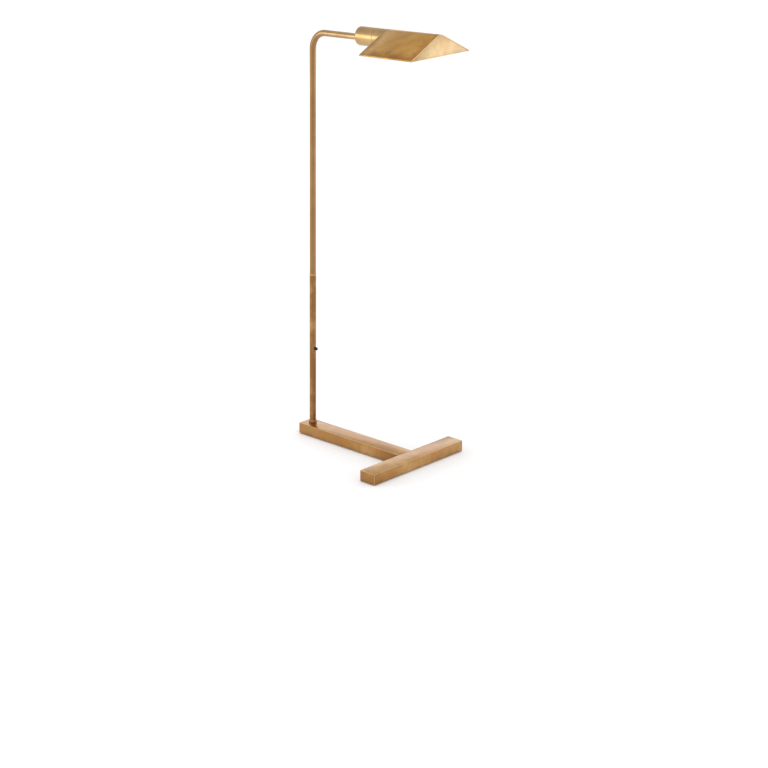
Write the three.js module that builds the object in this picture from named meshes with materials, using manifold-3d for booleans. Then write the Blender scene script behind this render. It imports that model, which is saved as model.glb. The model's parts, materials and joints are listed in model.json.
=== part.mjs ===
// Adjustable-arm task floor lamp: a T base of two flat bars, a telescoping round pole whose
// upper tube bends over into the arm, and a round socket cup that carries a turning tent shade.
// Millimetres, +Z up. +X runs from the pole along the leg, under the arm, towards the shade.
// The origin is on the floor, under the middle of the lamp's bounding box.
import * as THREE from "three";
import { mergeVertices } from "three/addons/utils/BufferGeometryUtils.js";
import Module from "manifold-3d";

const wasm = await Module();
wasm.setup();

// ---------------------------------------------------------------- driving dimensions
const ROUND = 24; // sides of a full-size round piece
const ROUND_SMALL = 12; // sides of a small round piece

const slide = 0.1; // radial clearance of one round piece in another
const seat = 0.3; // gap between faces that meet in the head or along a cut
const turning = 0.3; // radial clearance of the collar's spigot where the shade turns

// Base
const padHeight = 2;
const padRadius = 9;
const barWidth = 51;
const barHeight = 30;
const legBehindPole = 28.6; // pole axis to the leg's rear end
const legBeforePole = 344.5; // pole axis to the crossbar's back face
const crossbarLength = 358.6;
const tongueLength = 38; // of the leg's tongue, let into the crossbar from below
const tongueWidth = 36;
const tongueHeight = 14;
const baseScrewRadius = 4;
const baseScrewHeadRadius = 7.5;
const baseScrewLength = 22;
const baseScrewSpread = 11; // of each base screw from the centre line
const baseScrewSetback = 21; // of the base screws from the crossbar's back face
const padInset = 17; // of a front pad's centre from the crossbar's end
const rearPadInset = 11; // of the rear pads' centres from the leg's rear end
const rearPadSpread = 15; // of each rear pad from the centre line
const baseScrewRecess = 1; // of the base screws' heads above the bars' underside

// Pole
const outerTubeRadius = 9.1;
const outerTubeWall = 0.45;
const outerTubeTop = 461; // height of the outer tube's upper end
const collarHeight = 6;
const collarProud = 0.45; // of the collar beyond the outer tube
const collarBevel = 1.5;
const ferruleHeight = 12;
const ferruleThickness = 1.85; // beyond the outer tube, at its foot
const ferruleBand = 6.6; // height of the ferrule's straight part
const ferruleShoulder = 9;
const ferruleTaper = [0.5, 1.6]; // off its radius at the shoulder and at the top
const poleStudRadius = 5;
const studBoreRadius = 3.3;
const polePlugHeight = 12;
const polePocketRadius = 12; // pocket under the leg for the pole's nut
const polePocketDepth = 20;
const poleNutHeight = 5.5;
const nutAcrossFlats = 17;
const studBelowNut = 0.5;
const washerThickness = 1.5;
const washerRadius = 10.5;

// Mains lead inside the lamp, and the gland that it comes in through
const leadRadius = 2;
const leadBend = 9; // radius of the lead's turn under the pole
const leadHeight = 8; // of the lead and its gland above the floor
const leadTop = 58; // where the lead's lower stretch ends
const leadSides = 16;
const leadBendSteps = 6;
const glandNeckRadius = 3.5;
const glandNeckLength = 8;
const glandFlangeRadius = 5.5;
const glandFlangeThickness = 1.5;

// Height lock
const lockHeight = 252;
const lockThreadRadius = 2.3;
const lockBossRadius = 4.6;
const lockBossLength = 1.8;
const lockKnobRadius = 4.2;
const lockKnobLength = 4.2;
const lockKnobChamfer = 0.6;

// Riser and arm, one bent tube
const riserWall = 1.2;
const riserBottom = 217;
const guideHeight = 8;
const guideSpigot = 10;
const guideBoreRadius = 3.6;
const armHeight = 1129.3; // where the pole's axis and the arm's axis cross
const armRise = THREE.MathUtils.degToRad(2.4); // of the arm above level
const bendRadius = 47;
const bendSteps = 14;

// Head: distances along the arm are measured from the pole's axis
const cupRise = 3.7; // of the cup's axis above the arm's axis
const cupStart = 171;
const cupLength = 60;
const cupRadius = 25;
const cupWall = 1.2;
const cupFloor = 3;
const cupFillet = 4;
const armPlugLength = 20;
const nippleLength = 34;
const nippleInArm = 16;
const cupNutHeight = 4.5;
const holderRadius = 19;
const holderFloor = 11;
const holderDepth = 38; // of the holder's socket
const holderSocketRadius = 14.6;
const shellWall = 0.8;
const contactRadius = 4;
const contactTopRadius = 2.4;
const contactTop = 1.8; // of the contact's flat, above the socket's floor
const contactPeak = 2.2;
const holderChamfer = 2;
const holderLip = 1;
const terminalSpread = 14;
const terminalRadius = 2.4;
const terminalHeadHeight = 2.7;
const terminalDepth = 4; // of a terminal screw in the holder
const shellSetback = 4; // of the screw shell's end from the holder's mouth
const sleeveLength = 15;
const sleeveWall = 1;

// Bulb
const bulbLength = 142;
const bulbRadius = 15;
const glassWall = 0.9;
const capRadius = 13;
const capLength = 27;
const capWall = 0.8;
const capTipHeight = 2;
const capTipFlare = 0.5;
const capInsulatorRadius = 11;
const capInsulatorHeight = 5;
const capShoulder = 7; // where the cap's straight shell starts, from its tip
const capFloor = 8;
const glassInCap = 10;
const neckShoulder = 1; // of the neck beyond the cap
const neckRadius = 11.6;
const neckLength = 14;
const stemFootRadius = 6;
const stemRadius = 3;
const stemFlare = 16;
const stemTipRadius = 1.8;
const stemLength = 55;
const stemPoint = 2;
const domeSteps = 5;

// Shade and the collar that it turns on
const shadeTurn = THREE.MathUtils.degToRad(95); // each way from level
const collarGap = 0.6; // open line between the cup and the collar
const shadeStart = 266;
const shadeLength = 178;
const shadeHalfWidth = 110.5;
const ridgeProud = 0.5; // of the shade's rounded ridge above the cup's top
const shadeDepth = 55.1;
const shadeSheet = 1.2;
const lipHeight = 3;
const ridgeSteps = 8;
const gableSetback = 0.6; // of each gable's face from the roof's edge
const spigotLength = 15;
const spigotWall = 1.7;
const stopScrewRadius = 2;
const stopScrewSetback = 9.5; // from the cup's mouth
const stopScrewRecess = 0.4;
const collarFlange = 5;
const shadeBoreRadius = 16.5;
const shadeRingThickness = 2;
const shadeScrewRadius = 1.5;
const shadeScrewHeadRadius = 2.6;
const shadeScrewHeadHeight = 1.6;
const shadeScrewHeadBand = 1; // height of the head's straight part
const shadeScrewTopRadius = 1.3;
const shadeScrewLength = 8;
const shadeScrewCount = 3;

// ---------------------------------------------------------------- derived places
const barBottom = padHeight;
const barTop = padHeight + barHeight;
const poleNutBottom = barBottom + polePocketDepth - washerThickness - poleNutHeight;
const studBottom = poleNutBottom - studBelowNut;
const outerTubeBore = outerTubeRadius - outerTubeWall;
const collarRadius = outerTubeRadius + collarProud;
const ferruleRadius = outerTubeRadius + ferruleThickness;
const riserRadius = outerTubeBore - slide;
const riserBore = riserRadius - riserWall;
const polePlugTop = barTop + polePlugHeight;
const cupEnd = cupStart + cupLength;
const cupBore = cupRadius - cupWall;
const holderStart = cupStart + cupFloor + seat + washerThickness + seat + cupNutHeight + seat;
const holderEnd = holderStart + holderFloor + holderDepth;
const nippleEnd = cupStart - nippleInArm + nippleLength;
const studClear = poleStudRadius + seat;
const spigotRadius = cupBore - slide - sleeveWall - turning;
const spigotBore = spigotRadius - spigotWall;
const shadeEnd = shadeStart + shadeLength;
const ridgeRadius = cupRadius + ridgeProud; // of the bend along the ridge, about the cup's axis
const collarStart = cupEnd + collarGap;
const collarEnd = shadeStart - seat;
const collarFace = shadeStart + gableSetback - seat; // of the collar's flange, against the gable
const shadeScrewCircle = (shadeBoreRadius + spigotBore) / 2;

const rearReach = legBehindPole + glandFlangeThickness;
const shadeFoot = ridgeRadius - shadeDepth; // from the cup's axis
const eaveRise = shadeFoot + lipHeight; // from the cup's axis
const roofSlope = // each side is tangent to the ridge's bend and ends at its eave
  Math.asin(ridgeRadius / Math.hypot(eaveRise, shadeHalfWidth)) - Math.atan2(eaveRise, shadeHalfWidth);
const frontReach = shadeEnd * Math.cos(armRise) - (cupRise + shadeFoot) * Math.sin(armRise);
const poleX = (rearReach - frontReach) / 2; // puts the bounding box's middle at the origin

// ---------------------------------------------------------------- finishes
const finish = (color, roughness, metalness) => ({ color, roughness, metalness });
const BRASS = finish(0xb98a52, 0.38, 1);
const BRASS_DARK = finish(0x8d6434, 0.42, 1);
const STEEL = finish(0xa5a7a8, 0.4, 1);
const NYLON = finish(0xe6e0d2, 0.6, 0);
const RUBBER = finish(0x262422, 0.85, 0);
const PORCELAIN = finish(0xf1ede4, 0.3, 0);
const GLASS = finish(0xf7f3ea, 0.15, 0);
const LEAD = finish(0x5a4426, 0.6, 0);
const BLACKENED = finish(0x26221f, 0.5, 1);

// ---------------------------------------------------------------- shape helpers
function solidOf(geometry) {
  const bare = geometry.clone();
  bare.deleteAttribute("normal");
  bare.deleteAttribute("uv");
  const merged = mergeVertices(bare, 1e-4);
  const vertProperties = new Float32Array(merged.attributes.position.array);
  const triVerts = new Uint32Array(merged.index.array);
  return new wasm.Manifold(new wasm.Mesh({ numProp: 3, vertProperties, triVerts }));
}

function geometryOf(solid) {
  const mesh = solid.getMesh();
  const geometry = new THREE.BufferGeometry();
  geometry.setAttribute("position", new THREE.BufferAttribute(mesh.vertProperties, 3));
  geometry.setIndex(new THREE.BufferAttribute(mesh.triVerts, 1));
  return geometry;
}

function cut(geometry, ...tools) {
  return geometryOf(tools.reduce((left, tool) => left.subtract(solidOf(tool)), solidOf(geometry)));
}

function join(...geometries) {
  return geometryOf(geometries.map(solidOf).reduce((whole, next) => whole.add(next)));
}

// A box from its lowest corner to its highest corner.
function box(low, high) {
  const size = high.map((value, axis) => value - low[axis]);
  const middle = high.map((value, axis) => (value + low[axis]) / 2);
  return new THREE.BoxGeometry(...size).translate(...middle);
}

// A closed outline of [radius, height] points, anticlockwise, turned about the Z axis.
function turned(outline, sides = ROUND) {
  const points = [...outline, outline[0]].map(([radius, height]) => new THREE.Vector2(radius, height));
  return new THREE.LatheGeometry(points, sides).rotateX(Math.PI / 2);
}

// A plain round bar or, with a bore, a ring: between two heights on the Z axis.
function round(radius, low, high, bore = 0, sides = ROUND) {
  return turned([[bore, low], [radius, low], [radius, high], [bore, high]], sides);
}

const toX = (geometry) => geometry.rotateY(Math.PI / 2); // lays a shape made along Z along X
const onArm = (geometry) => toX(geometry).translate(0, 0, -cupRise); // on the arm's axis, in the head

// Points of an arc, for an outline.
function arc(centre, radius, from, to, steps) {
  return Array.from({ length: steps + 1 }, (_, step) => {
    const angle = from + ((to - from) * step) / steps;
    return [centre[0] + radius * Math.cos(angle), centre[1] + radius * Math.sin(angle)];
  });
}

function hexNut(acrossFlats, low, high, bore) {
  const body = round(acrossFlats / Math.sqrt(3), low, high, 0, 6);
  return cut(body, round(bore, low - 1, high + 1));
}

// A path of a straight, a bend in the XZ plane and a straight, stepped finely in the bend alone.
class BentPath extends THREE.Curve {
  constructor(start, bendStart, centre, radius, startAngle, turn, endLength, steps) {
    super();
    Object.assign(this, { start, bendStart, centre, radius, startAngle, turn, endLength, steps });
  }

  getUtoTmapping(u) {
    return u;
  }

  onBend(share) {
    const angle = this.startAngle + this.turn * share;
    const offset = new THREE.Vector3(Math.cos(angle), 0, Math.sin(angle));
    return this.centre.clone().addScaledVector(offset, this.radius);
  }

  endDirection() {
    const angle = this.startAngle + this.turn;
    const side = Math.sign(this.turn);
    return new THREE.Vector3(-Math.sin(angle) * side, 0, Math.cos(angle) * side);
  }

  getPoint(t) {
    const place = t * (this.steps + 2);
    if (place <= 1) return this.start.clone().lerp(this.bendStart, place);
    const share = Math.min((place - 1) / this.steps, 1);
    const past = Math.max(place - 1 - this.steps, 0);
    return this.onBend(share).addScaledVector(this.endDirection(), past * this.endLength);
  }
}

// A round bar or, with a bore, a tube, along a bent path.
function alongPath(path, radius, bore, sides) {
  const section = new THREE.Shape().absarc(0, 0, radius, 0, 2 * Math.PI);
  if (bore) section.holes.push(new THREE.Path().absarc(0, 0, bore, 0, 2 * Math.PI));
  const steps = path.steps + 2;
  const curveSegments = sides / 2;
  return new THREE.ExtrudeGeometry(section, { steps, curveSegments, extrudePath: path });
}

function addMesh(group, name, geometry, look) {
  const mesh = new THREE.Mesh(geometry, new THREE.MeshStandardMaterial(look));
  mesh.name = name;
  group.add(mesh);
  return mesh;
}

// ---------------------------------------------------------------- base
function buildBase(group) {
  const crossbarFront = legBeforePole + barWidth;
  const tongueEnd = legBeforePole + tongueLength;
  const tongueTop = barBottom + tongueHeight;
  const screwX = legBeforePole + baseScrewSetback;
  const screwPlaces = [-baseScrewSpread, baseScrewSpread].map((y) => [screwX, y]);
  const headDepth = baseScrewHeadRadius - baseScrewRadius;
  const screwBottom = barBottom + baseScrewRecess;
  const screwTop = screwBottom + baseScrewLength;

  // A countersunk screw, or with some clearance, the hole for it.
  const countersunk = (clearance, low = screwBottom) =>
    turned([
      [0, low],
      [baseScrewHeadRadius + clearance, low],
      [baseScrewHeadRadius + clearance, screwBottom],
      [baseScrewRadius + clearance, screwBottom + headDepth],
      [baseScrewRadius + clearance, screwTop + clearance],
      [0, screwTop + clearance],
    ], ROUND_SMALL);
  const screwHoles = screwPlaces.map(([x, y]) => countersunk(seat, 0).translate(x, y, 0));

  const leg = join(
    box([-legBehindPole, -barWidth / 2, barBottom], [legBeforePole, barWidth / 2, barTop]),
    box([0, -tongueWidth / 2, barBottom], [tongueEnd, tongueWidth / 2, tongueTop]),
  );
  const pocketTop = barBottom + polePocketDepth;
  const glandBore = toX(round(glandNeckRadius + slide, -legBehindPole - 1, 0, 0, ROUND_SMALL));
  const legCuts = [
    round(poleStudRadius + slide, barBottom, barTop + 1),
    round(polePocketRadius, barBottom - 1, pocketTop),
    glandBore.translate(0, 0, leadHeight),
    ...screwHoles,
  ];
  addMesh(group, "base_leg", cut(leg, ...legCuts), BRASS);

  const crossbar = box(
    [legBeforePole, -crossbarLength / 2, barBottom],
    [crossbarFront, crossbarLength / 2, barTop],
  );
  const tonguePocket = box(
    [legBeforePole - 1, -tongueWidth / 2 - seat, barBottom - 1],
    [tongueEnd + seat, tongueWidth / 2 + seat, tongueTop + seat],
  );
  addMesh(group, "base_crossbar", cut(crossbar, tonguePocket, ...screwHoles), BRASS);

  screwPlaces.forEach(([x, y], index) => {
    addMesh(group, `base_screw_${index + 1}`, countersunk(0).translate(x, y, 0), STEEL);
  });

  const padX = crossbarFront - barWidth / 2;
  const padY = crossbarLength / 2 - padInset;
  const padPlaces = [
    [padX, -padY],
    [padX, padY],
    [rearPadInset - legBehindPole, -rearPadSpread],
    [rearPadInset - legBehindPole, rearPadSpread],
  ];
  padPlaces.forEach(([x, y], index) => {
    const pad = round(padRadius, 0, padHeight, 0, ROUND_SMALL).translate(x, y, 0);
    addMesh(group, `foot_pad_${index + 1}`, pad, RUBBER);
  });
}

// ---------------------------------------------------------------- pole
function buildPole(group) {
  const nutTop = barBottom + polePocketDepth - washerThickness;
  const ferruleBore = outerTubeRadius + slide;

  addMesh(group, "pole_ferrule", turned([
    [ferruleBore, barTop],
    [ferruleRadius, barTop],
    [ferruleRadius, barTop + ferruleBand],
    [ferruleRadius - ferruleTaper[0], barTop + ferruleShoulder],
    [ferruleRadius - ferruleTaper[1], barTop + ferruleHeight],
    [ferruleBore, barTop + ferruleHeight],
  ]), BRASS_DARK);

  const lockHole = toX(round(lockThreadRadius + seat, 0, 2 * outerTubeRadius, 0, ROUND_SMALL));
  const tube = round(outerTubeRadius, barTop, outerTubeTop, outerTubeBore);
  addMesh(group, "outer_tube", cut(tube, lockHole.translate(0, 0, lockHeight)), BRASS);

  const collarTop = outerTubeTop + collarHeight;
  addMesh(group, "tube_collar", turned([
    [outerTubeBore, outerTubeTop],
    [outerTubeRadius, outerTubeTop],
    [collarRadius, outerTubeTop + collarBevel],
    [collarRadius, collarTop - collarBevel],
    [outerTubeRadius, collarTop],
    [outerTubeBore, collarTop],
  ]), BRASS);

  const plug = round(outerTubeBore - slide, barTop, polePlugTop, poleStudRadius + slide);
  addMesh(group, "pole_plug", plug, STEEL);
  addMesh(group, "pole_stud", round(poleStudRadius, studBottom, polePlugTop, studBoreRadius), STEEL);
  const washerTop = barBottom + polePocketDepth;
  addMesh(group, "pole_washer", round(washerRadius, nutTop, washerTop, poleStudRadius + slide), STEEL);
  const nut = hexNut(nutAcrossFlats, poleNutBottom, nutTop, poleStudRadius + slide);
  addMesh(group, "pole_nut", nut, STEEL);
}

// ---------------------------------------------------------------- lead inside the base
function buildLeadAndGland(group) {
  const flangeFace = -legBehindPole - glandFlangeThickness;
  const neckEnd = -legBehindPole + glandNeckLength;
  const gland = turned([
    [leadRadius + seat, flangeFace],
    [glandFlangeRadius, flangeFace],
    [glandFlangeRadius, -legBehindPole],
    [glandNeckRadius, -legBehindPole],
    [glandNeckRadius, neckEnd],
    [leadRadius + seat, neckEnd],
  ], ROUND_SMALL);
  addMesh(group, "cord_gland", toX(gland), RUBBER).position.z = leadHeight;

  const path = new BentPath(
    new THREE.Vector3(neckEnd + seat, 0, leadHeight),
    new THREE.Vector3(-leadBend, 0, leadHeight),
    new THREE.Vector3(-leadBend, 0, leadHeight + leadBend),
    leadBend,
    -Math.PI / 2,
    Math.PI / 2,
    leadTop - leadHeight - leadBend,
    leadBendSteps,
  );
  addMesh(group, "lead_lower", alongPath(path, leadRadius, 0, leadSides), LEAD);
}

// ---------------------------------------------------------------- height lock
function buildLock(group) {
  const bossEnd = outerTubeRadius + lockBossLength;
  const knobStart = bossEnd + seat;
  const knobEnd = knobStart + lockKnobLength;

  const boss = toX(round(lockBossRadius, 0, bossEnd, lockThreadRadius + seat, ROUND_SMALL));
  const tubeSide = round(outerTubeRadius + seat, -3 * lockBossRadius, 3 * lockBossRadius);
  addMesh(group, "lock_boss", cut(boss, tubeSide), BLACKENED).position.z = lockHeight;

  const screw = turned([
    [0, riserRadius + slide],
    [lockThreadRadius, riserRadius + slide],
    [lockThreadRadius, knobStart],
    [lockKnobRadius - lockKnobChamfer, knobStart],
    [lockKnobRadius, knobStart + lockKnobChamfer],
    [lockKnobRadius, knobEnd - lockKnobChamfer],
    [lockKnobRadius - lockKnobChamfer, knobEnd],
    [0, knobEnd],
  ], ROUND_SMALL);
  addMesh(group, "lock_screw", toX(screw), BLACKENED).position.z = lockHeight;
}

// ---------------------------------------------------------------- riser and arm
function buildRiser(group) {
  const turn = Math.PI / 2 - armRise;
  const tangent = bendRadius * Math.tan(turn / 2);
  const armEnd = cupStart - seat;

  const bentPath = (startHeight, endAlongArm) =>
    new BentPath(
      new THREE.Vector3(0, 0, startHeight),
      new THREE.Vector3(0, 0, armHeight - tangent),
      new THREE.Vector3(bendRadius, 0, armHeight - tangent),
      bendRadius,
      Math.PI,
      -turn,
      endAlongArm - tangent,
      bendSteps,
    );

  addMesh(group, "riser_guide", turned([
    [guideBoreRadius, riserBottom - seat - guideHeight],
    [riserRadius, riserBottom - seat - guideHeight],
    [riserRadius, riserBottom - seat],
    [riserBore - slide, riserBottom - seat],
    [riserBore - slide, riserBottom + guideSpigot],
    [guideBoreRadius, riserBottom + guideSpigot],
  ]), NYLON);

  const tube = alongPath(bentPath(riserBottom, armEnd), riserRadius, riserBore, ROUND);
  addMesh(group, "riser_tube", tube, BRASS);

  const leadStart = riserBottom + guideSpigot + seat;
  const leadEnd = nippleEnd - seat;
  const lead = alongPath(bentPath(leadStart, leadEnd), leadRadius, 0, leadSides / 2);
  addMesh(group, "lead_upper", lead, LEAD);
}

// ---------------------------------------------------------------- on the arm's own X axis
function buildArmFixings(arm) {
  const nippleStart = cupStart - nippleInArm;
  const armPlugEnd = cupStart - seat;
  const washerStart = cupStart + cupFloor + seat;
  const nutStart = washerStart + washerThickness + seat;

  const plug = round(riserBore - slide, armPlugEnd - armPlugLength, armPlugEnd, studClear);
  addMesh(arm, "arm_plug", toX(plug), STEEL);
  addMesh(arm, "arm_nipple", toX(round(poleStudRadius, nippleStart, nippleEnd, studBoreRadius)), STEEL);
  const washer = round(washerRadius, washerStart, washerStart + washerThickness, studClear);
  addMesh(arm, "cup_washer", toX(washer), STEEL);
  addMesh(arm, "cup_nut", toX(hexNut(nutAcrossFlats, nutStart, nutStart + cupNutHeight, studClear)), STEEL);
}

// ---------------------------------------------------------------- head, on the cup's own X axis
function buildCup(head) {
  const stopX = cupEnd - stopScrewSetback;

  const corner = arc([cupRadius - cupFillet, cupStart + cupFillet], cupFillet, -Math.PI / 2, 0, 5);
  const cup = toX(turned([
    [0, cupStart],
    ...corner,
    [cupRadius, cupEnd],
    [cupBore, cupEnd],
    [cupBore, cupStart + cupFloor],
    [0, cupStart + cupFloor],
  ]));
  const nippleHole = round(studClear, cupStart - 1, cupStart + cupFloor + 1);
  const stopHole = (grow) =>
    round(stopScrewRadius + grow, -cupRadius - 1, -spigotBore, 0, ROUND_SMALL).translate(stopX, 0, 0);
  addMesh(head, "socket_cup", cut(cup, stopHole(seat), onArm(nippleHole)), BRASS);

  const sleeveEnd = cupEnd - seat;
  const sleeveRadius = cupBore - slide;
  const sleeveBore = sleeveRadius - sleeveWall;
  const sleeve = toX(round(sleeveRadius, sleeveEnd - sleeveLength, sleeveEnd, sleeveBore));
  addMesh(head, "friction_sleeve", cut(sleeve, stopHole(seat)), NYLON);

  const stop = round(stopScrewRadius, -cupRadius + stopScrewRecess, -spigotBore - seat, 0, ROUND_SMALL);
  addMesh(head, "stop_screw", stop, STEEL).position.x = stopX;
}

function buildHolder(head) {
  const socketStart = holderStart + holderFloor;
  const shellStart = socketStart + seat;
  const shellRadius = holderSocketRadius - seat;
  const headStart = holderStart - seat - terminalHeadHeight;
  const shankRadius = terminalRadius / 2;

  const holder = toX(turned([
    [0, holderStart],
    [holderRadius - holderChamfer, holderStart],
    [holderRadius, holderStart + holderChamfer],
    [holderRadius, holderEnd - holderLip],
    [holderRadius - holderLip, holderEnd],
    [holderSocketRadius, holderEnd],
    [holderSocketRadius, socketStart],
    [0, socketStart],
  ]));
  const nippleHole = onArm(round(studClear, holderStart - 1, nippleEnd + seat));
  const terminalHoles = [-1, 1].map((side) =>
    toX(round(shankRadius + slide, holderStart - 1, holderStart + terminalDepth + 1, 0, ROUND_SMALL))
      .translate(0, side * terminalSpread, 0));
  addMesh(head, "holder_body", cut(holder, nippleHole, ...terminalHoles), PORCELAIN);

  const shell = round(shellRadius, shellStart, holderEnd - shellSetback, shellRadius - shellWall);
  addMesh(head, "holder_shell", toX(shell), BRASS);
  const contact = turned([
    [0, socketStart + seat],
    [contactRadius, socketStart + seat],
    [contactTopRadius, socketStart + contactTop],
    [0, socketStart + contactPeak],
  ], ROUND_SMALL);
  addMesh(head, "holder_contact", toX(contact), BRASS);

  [-1, 1].forEach((side, index) => {
    const screw = turned([
      [0, headStart],
      [terminalRadius, headStart],
      [terminalRadius, holderStart - seat],
      [shankRadius, holderStart - seat],
      [shankRadius, holderStart + terminalDepth],
      [0, holderStart + terminalDepth],
    ], ROUND_SMALL);
    addMesh(head, `holder_terminal_${index + 1}`, toX(screw), BRASS).position.y = side * terminalSpread;
  });
}

function buildBulb(head) {
  const tip = holderStart + holderFloor + contactPeak + seat;
  const capEnd = tip + capLength;
  const capInner = capRadius - capWall;
  const shoulder = capEnd + neckLength;
  const front = tip + bulbLength;
  const domeCentre = front - bulbRadius;
  const glassBore = bulbRadius - glassWall;
  const neckBore = neckRadius - glassWall;
  const glassStart = capEnd - glassInCap;
  const neckEnd = capEnd + neckShoulder;

  addMesh(head, "bulb_cap", toX(turned([
    [0, tip],
    [contactRadius, tip],
    [contactRadius + capTipFlare, tip + capTipHeight],
    [capInsulatorRadius, tip + capInsulatorHeight],
    [capRadius, tip + capShoulder],
    [capRadius, capEnd],
    [capInner, capEnd],
    [capInner, tip + capFloor],
    [0, tip + capFloor],
  ])), STEEL);

  const outerDome = arc([0, domeCentre], bulbRadius, 0, Math.PI / 2, domeSteps);
  const innerDome = arc([0, domeCentre], glassBore, Math.PI / 2, 0, domeSteps);
  outerDome[domeSteps][0] = 0;
  innerDome[0][0] = 0;
  addMesh(head, "bulb_glass", toX(turned([
    [neckBore, glassStart],
    [neckRadius, glassStart],
    [neckRadius, neckEnd],
    [bulbRadius, shoulder],
    ...outerDome,
    ...innerDome,
    [glassBore, shoulder],
    [neckBore, neckEnd],
  ])), GLASS);

  const stemStart = tip + capFloor + seat;
  addMesh(head, "bulb_stem", toX(turned([
    [0, stemStart],
    [stemFootRadius, stemStart],
    [stemRadius, stemStart + stemFlare],
    [stemTipRadius, stemStart + stemLength],
    [0, stemStart + stemLength + stemPoint],
  ], ROUND_SMALL)), GLASS);
}

// ---------------------------------------------------------------- shade
// The roof's bent outline at a depth inside its outer face: where its sides are and their eaves,
// and the points of its bend along the ridge, from the +Y side to the -Y side.
function roofInside(depth) {
  const y = shadeHalfWidth - depth;
  const radius = ridgeRadius - depth;
  const eave = radius / Math.cos(roofSlope) - y * Math.tan(roofSlope);
  const bend = arc([0, 0], radius, Math.PI / 2 - roofSlope, Math.PI / 2 + roofSlope, ridgeSteps);
  return { y, eave, bend };
}

// A shape in the head's YZ plane, extruded from one place along the arm to another.
function acrossHead(points, from, to, holes = []) {
  const shape = new THREE.Shape(points.map(([y, z]) => new THREE.Vector2(y, z)));
  shape.holes = holes.map(([centre, radius]) =>
    new THREE.Path().absarc(centre[0], centre[1], radius, 0, 2 * Math.PI, true));
  const settings = { depth: to - from, bevelEnabled: false, curveSegments: ROUND_SMALL };
  const slab = new THREE.ExtrudeGeometry(shape, settings);
  return slab.rotateX(Math.PI / 2).rotateZ(Math.PI / 2).translate(from, 0, 0);
}

function gablePoints() {
  const { y, eave, bend } = roofInside(shadeSheet + seat);
  return [[-y, shadeFoot], [y, shadeFoot], [y, eave], ...bend, [-y, eave]];
}

function screwPlaces() {
  return Array.from({ length: shadeScrewCount }, (_, index) => {
    const angle = Math.PI / 2 + (index * 2 * Math.PI) / shadeScrewCount;
    return [shadeScrewCircle * Math.cos(angle), shadeScrewCircle * Math.sin(angle)];
  });
}

function buildShade(head) {
  const outer = roofInside(0);
  const inner = roofInside(shadeSheet);
  const roof = [
    [outer.y, shadeFoot],
    [outer.y, outer.eave],
    ...outer.bend,
    [-outer.y, outer.eave],
    [-outer.y, shadeFoot],
    [-inner.y, shadeFoot],
    [-inner.y, inner.eave],
    ...inner.bend.reverse(),
    [inner.y, inner.eave],
    [inner.y, shadeFoot],
  ];
  addMesh(head, "shade_roof", acrossHead(roof, shadeStart, shadeEnd), BRASS);

  const frontFace = shadeEnd - gableSetback;
  const frontGable = acrossHead(gablePoints(), frontFace - shadeSheet, frontFace);
  addMesh(head, "shade_front_gable", frontGable, BRASS);

  const rearFace = shadeStart + gableSetback;
  const holes = screwPlaces().map((place) => [place, shadeScrewRadius + seat]);
  const rearHoles = [[[0, 0], shadeBoreRadius], ...holes];
  const rearGable = acrossHead(gablePoints(), rearFace, rearFace + shadeSheet, rearHoles);
  addMesh(head, "shade_rear_gable", rearGable, BRASS);

  const spigotStart = collarStart - spigotLength;
  const collar = toX(turned([
    [spigotBore, spigotStart],
    [spigotRadius, spigotStart],
    [spigotRadius, collarStart],
    [cupRadius, collarStart],
    [cupRadius, collarEnd],
    [spigotBore, collarEnd],
    [spigotBore, collarFace],
    [shadeBoreRadius, collarFace],
    [shadeBoreRadius, collarEnd - collarFlange],
    [spigotBore, collarEnd - collarFlange],
  ]));
  const stopX = cupEnd - stopScrewSetback;
  const halfSlot = shadeTurn + Math.asin((stopScrewRadius + seat) / spigotBore);
  const slot = new THREE.Shape();
  slot.absarc(0, 0, spigotRadius + 1, -Math.PI / 2 - halfSlot, -Math.PI / 2 + halfSlot, false);
  slot.absarc(0, 0, spigotBore - 1, -Math.PI / 2 + halfSlot, -Math.PI / 2 - halfSlot, true);
  const slotWidth = 2 * (stopScrewRadius + seat);
  const slotSettings = { depth: slotWidth, bevelEnabled: false, curveSegments: ROUND };
  const slotTool = new THREE.ExtrudeGeometry(slot, slotSettings)
    .rotateX(Math.PI / 2)
    .rotateZ(Math.PI / 2)
    .translate(stopX - slotWidth / 2, 0, 0);
  const threadHoles = screwPlaces().map(([y, z]) =>
    toX(round(shadeScrewRadius + seat, collarEnd - collarFlange - 1, collarEnd + 1, 0, ROUND_SMALL))
      .translate(0, y, z));
  addMesh(head, "shade_collar", cut(collar, slotTool, ...threadHoles), BRASS);

  const ringStart = rearFace + shadeSheet + seat;
  const ringEnd = ringStart + shadeRingThickness;
  const ringHoles = screwPlaces().map(([y, z]) =>
    toX(round(shadeScrewRadius + seat, ringStart - 1, ringEnd + 1, 0, ROUND_SMALL)).translate(0, y, z));
  const ring = toX(round(spigotBore, ringStart, ringEnd, shadeBoreRadius));
  addMesh(head, "shade_ring", cut(ring, ...ringHoles), STEEL);

  const headStart = ringEnd + seat;
  const screw = turned([
    [0, headStart - shadeScrewLength],
    [shadeScrewRadius, headStart - shadeScrewLength],
    [shadeScrewRadius, headStart],
    [shadeScrewHeadRadius, headStart],
    [shadeScrewHeadRadius, headStart + shadeScrewHeadBand],
    [shadeScrewTopRadius, headStart + shadeScrewHeadHeight],
    [0, headStart + shadeScrewHeadHeight],
  ], ROUND_SMALL);
  screwPlaces().forEach(([y, z], index) => {
    addMesh(head, `shade_screw_${index + 1}`, toX(screw.clone()), STEEL).position.set(0, y, z);
  });
}

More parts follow.
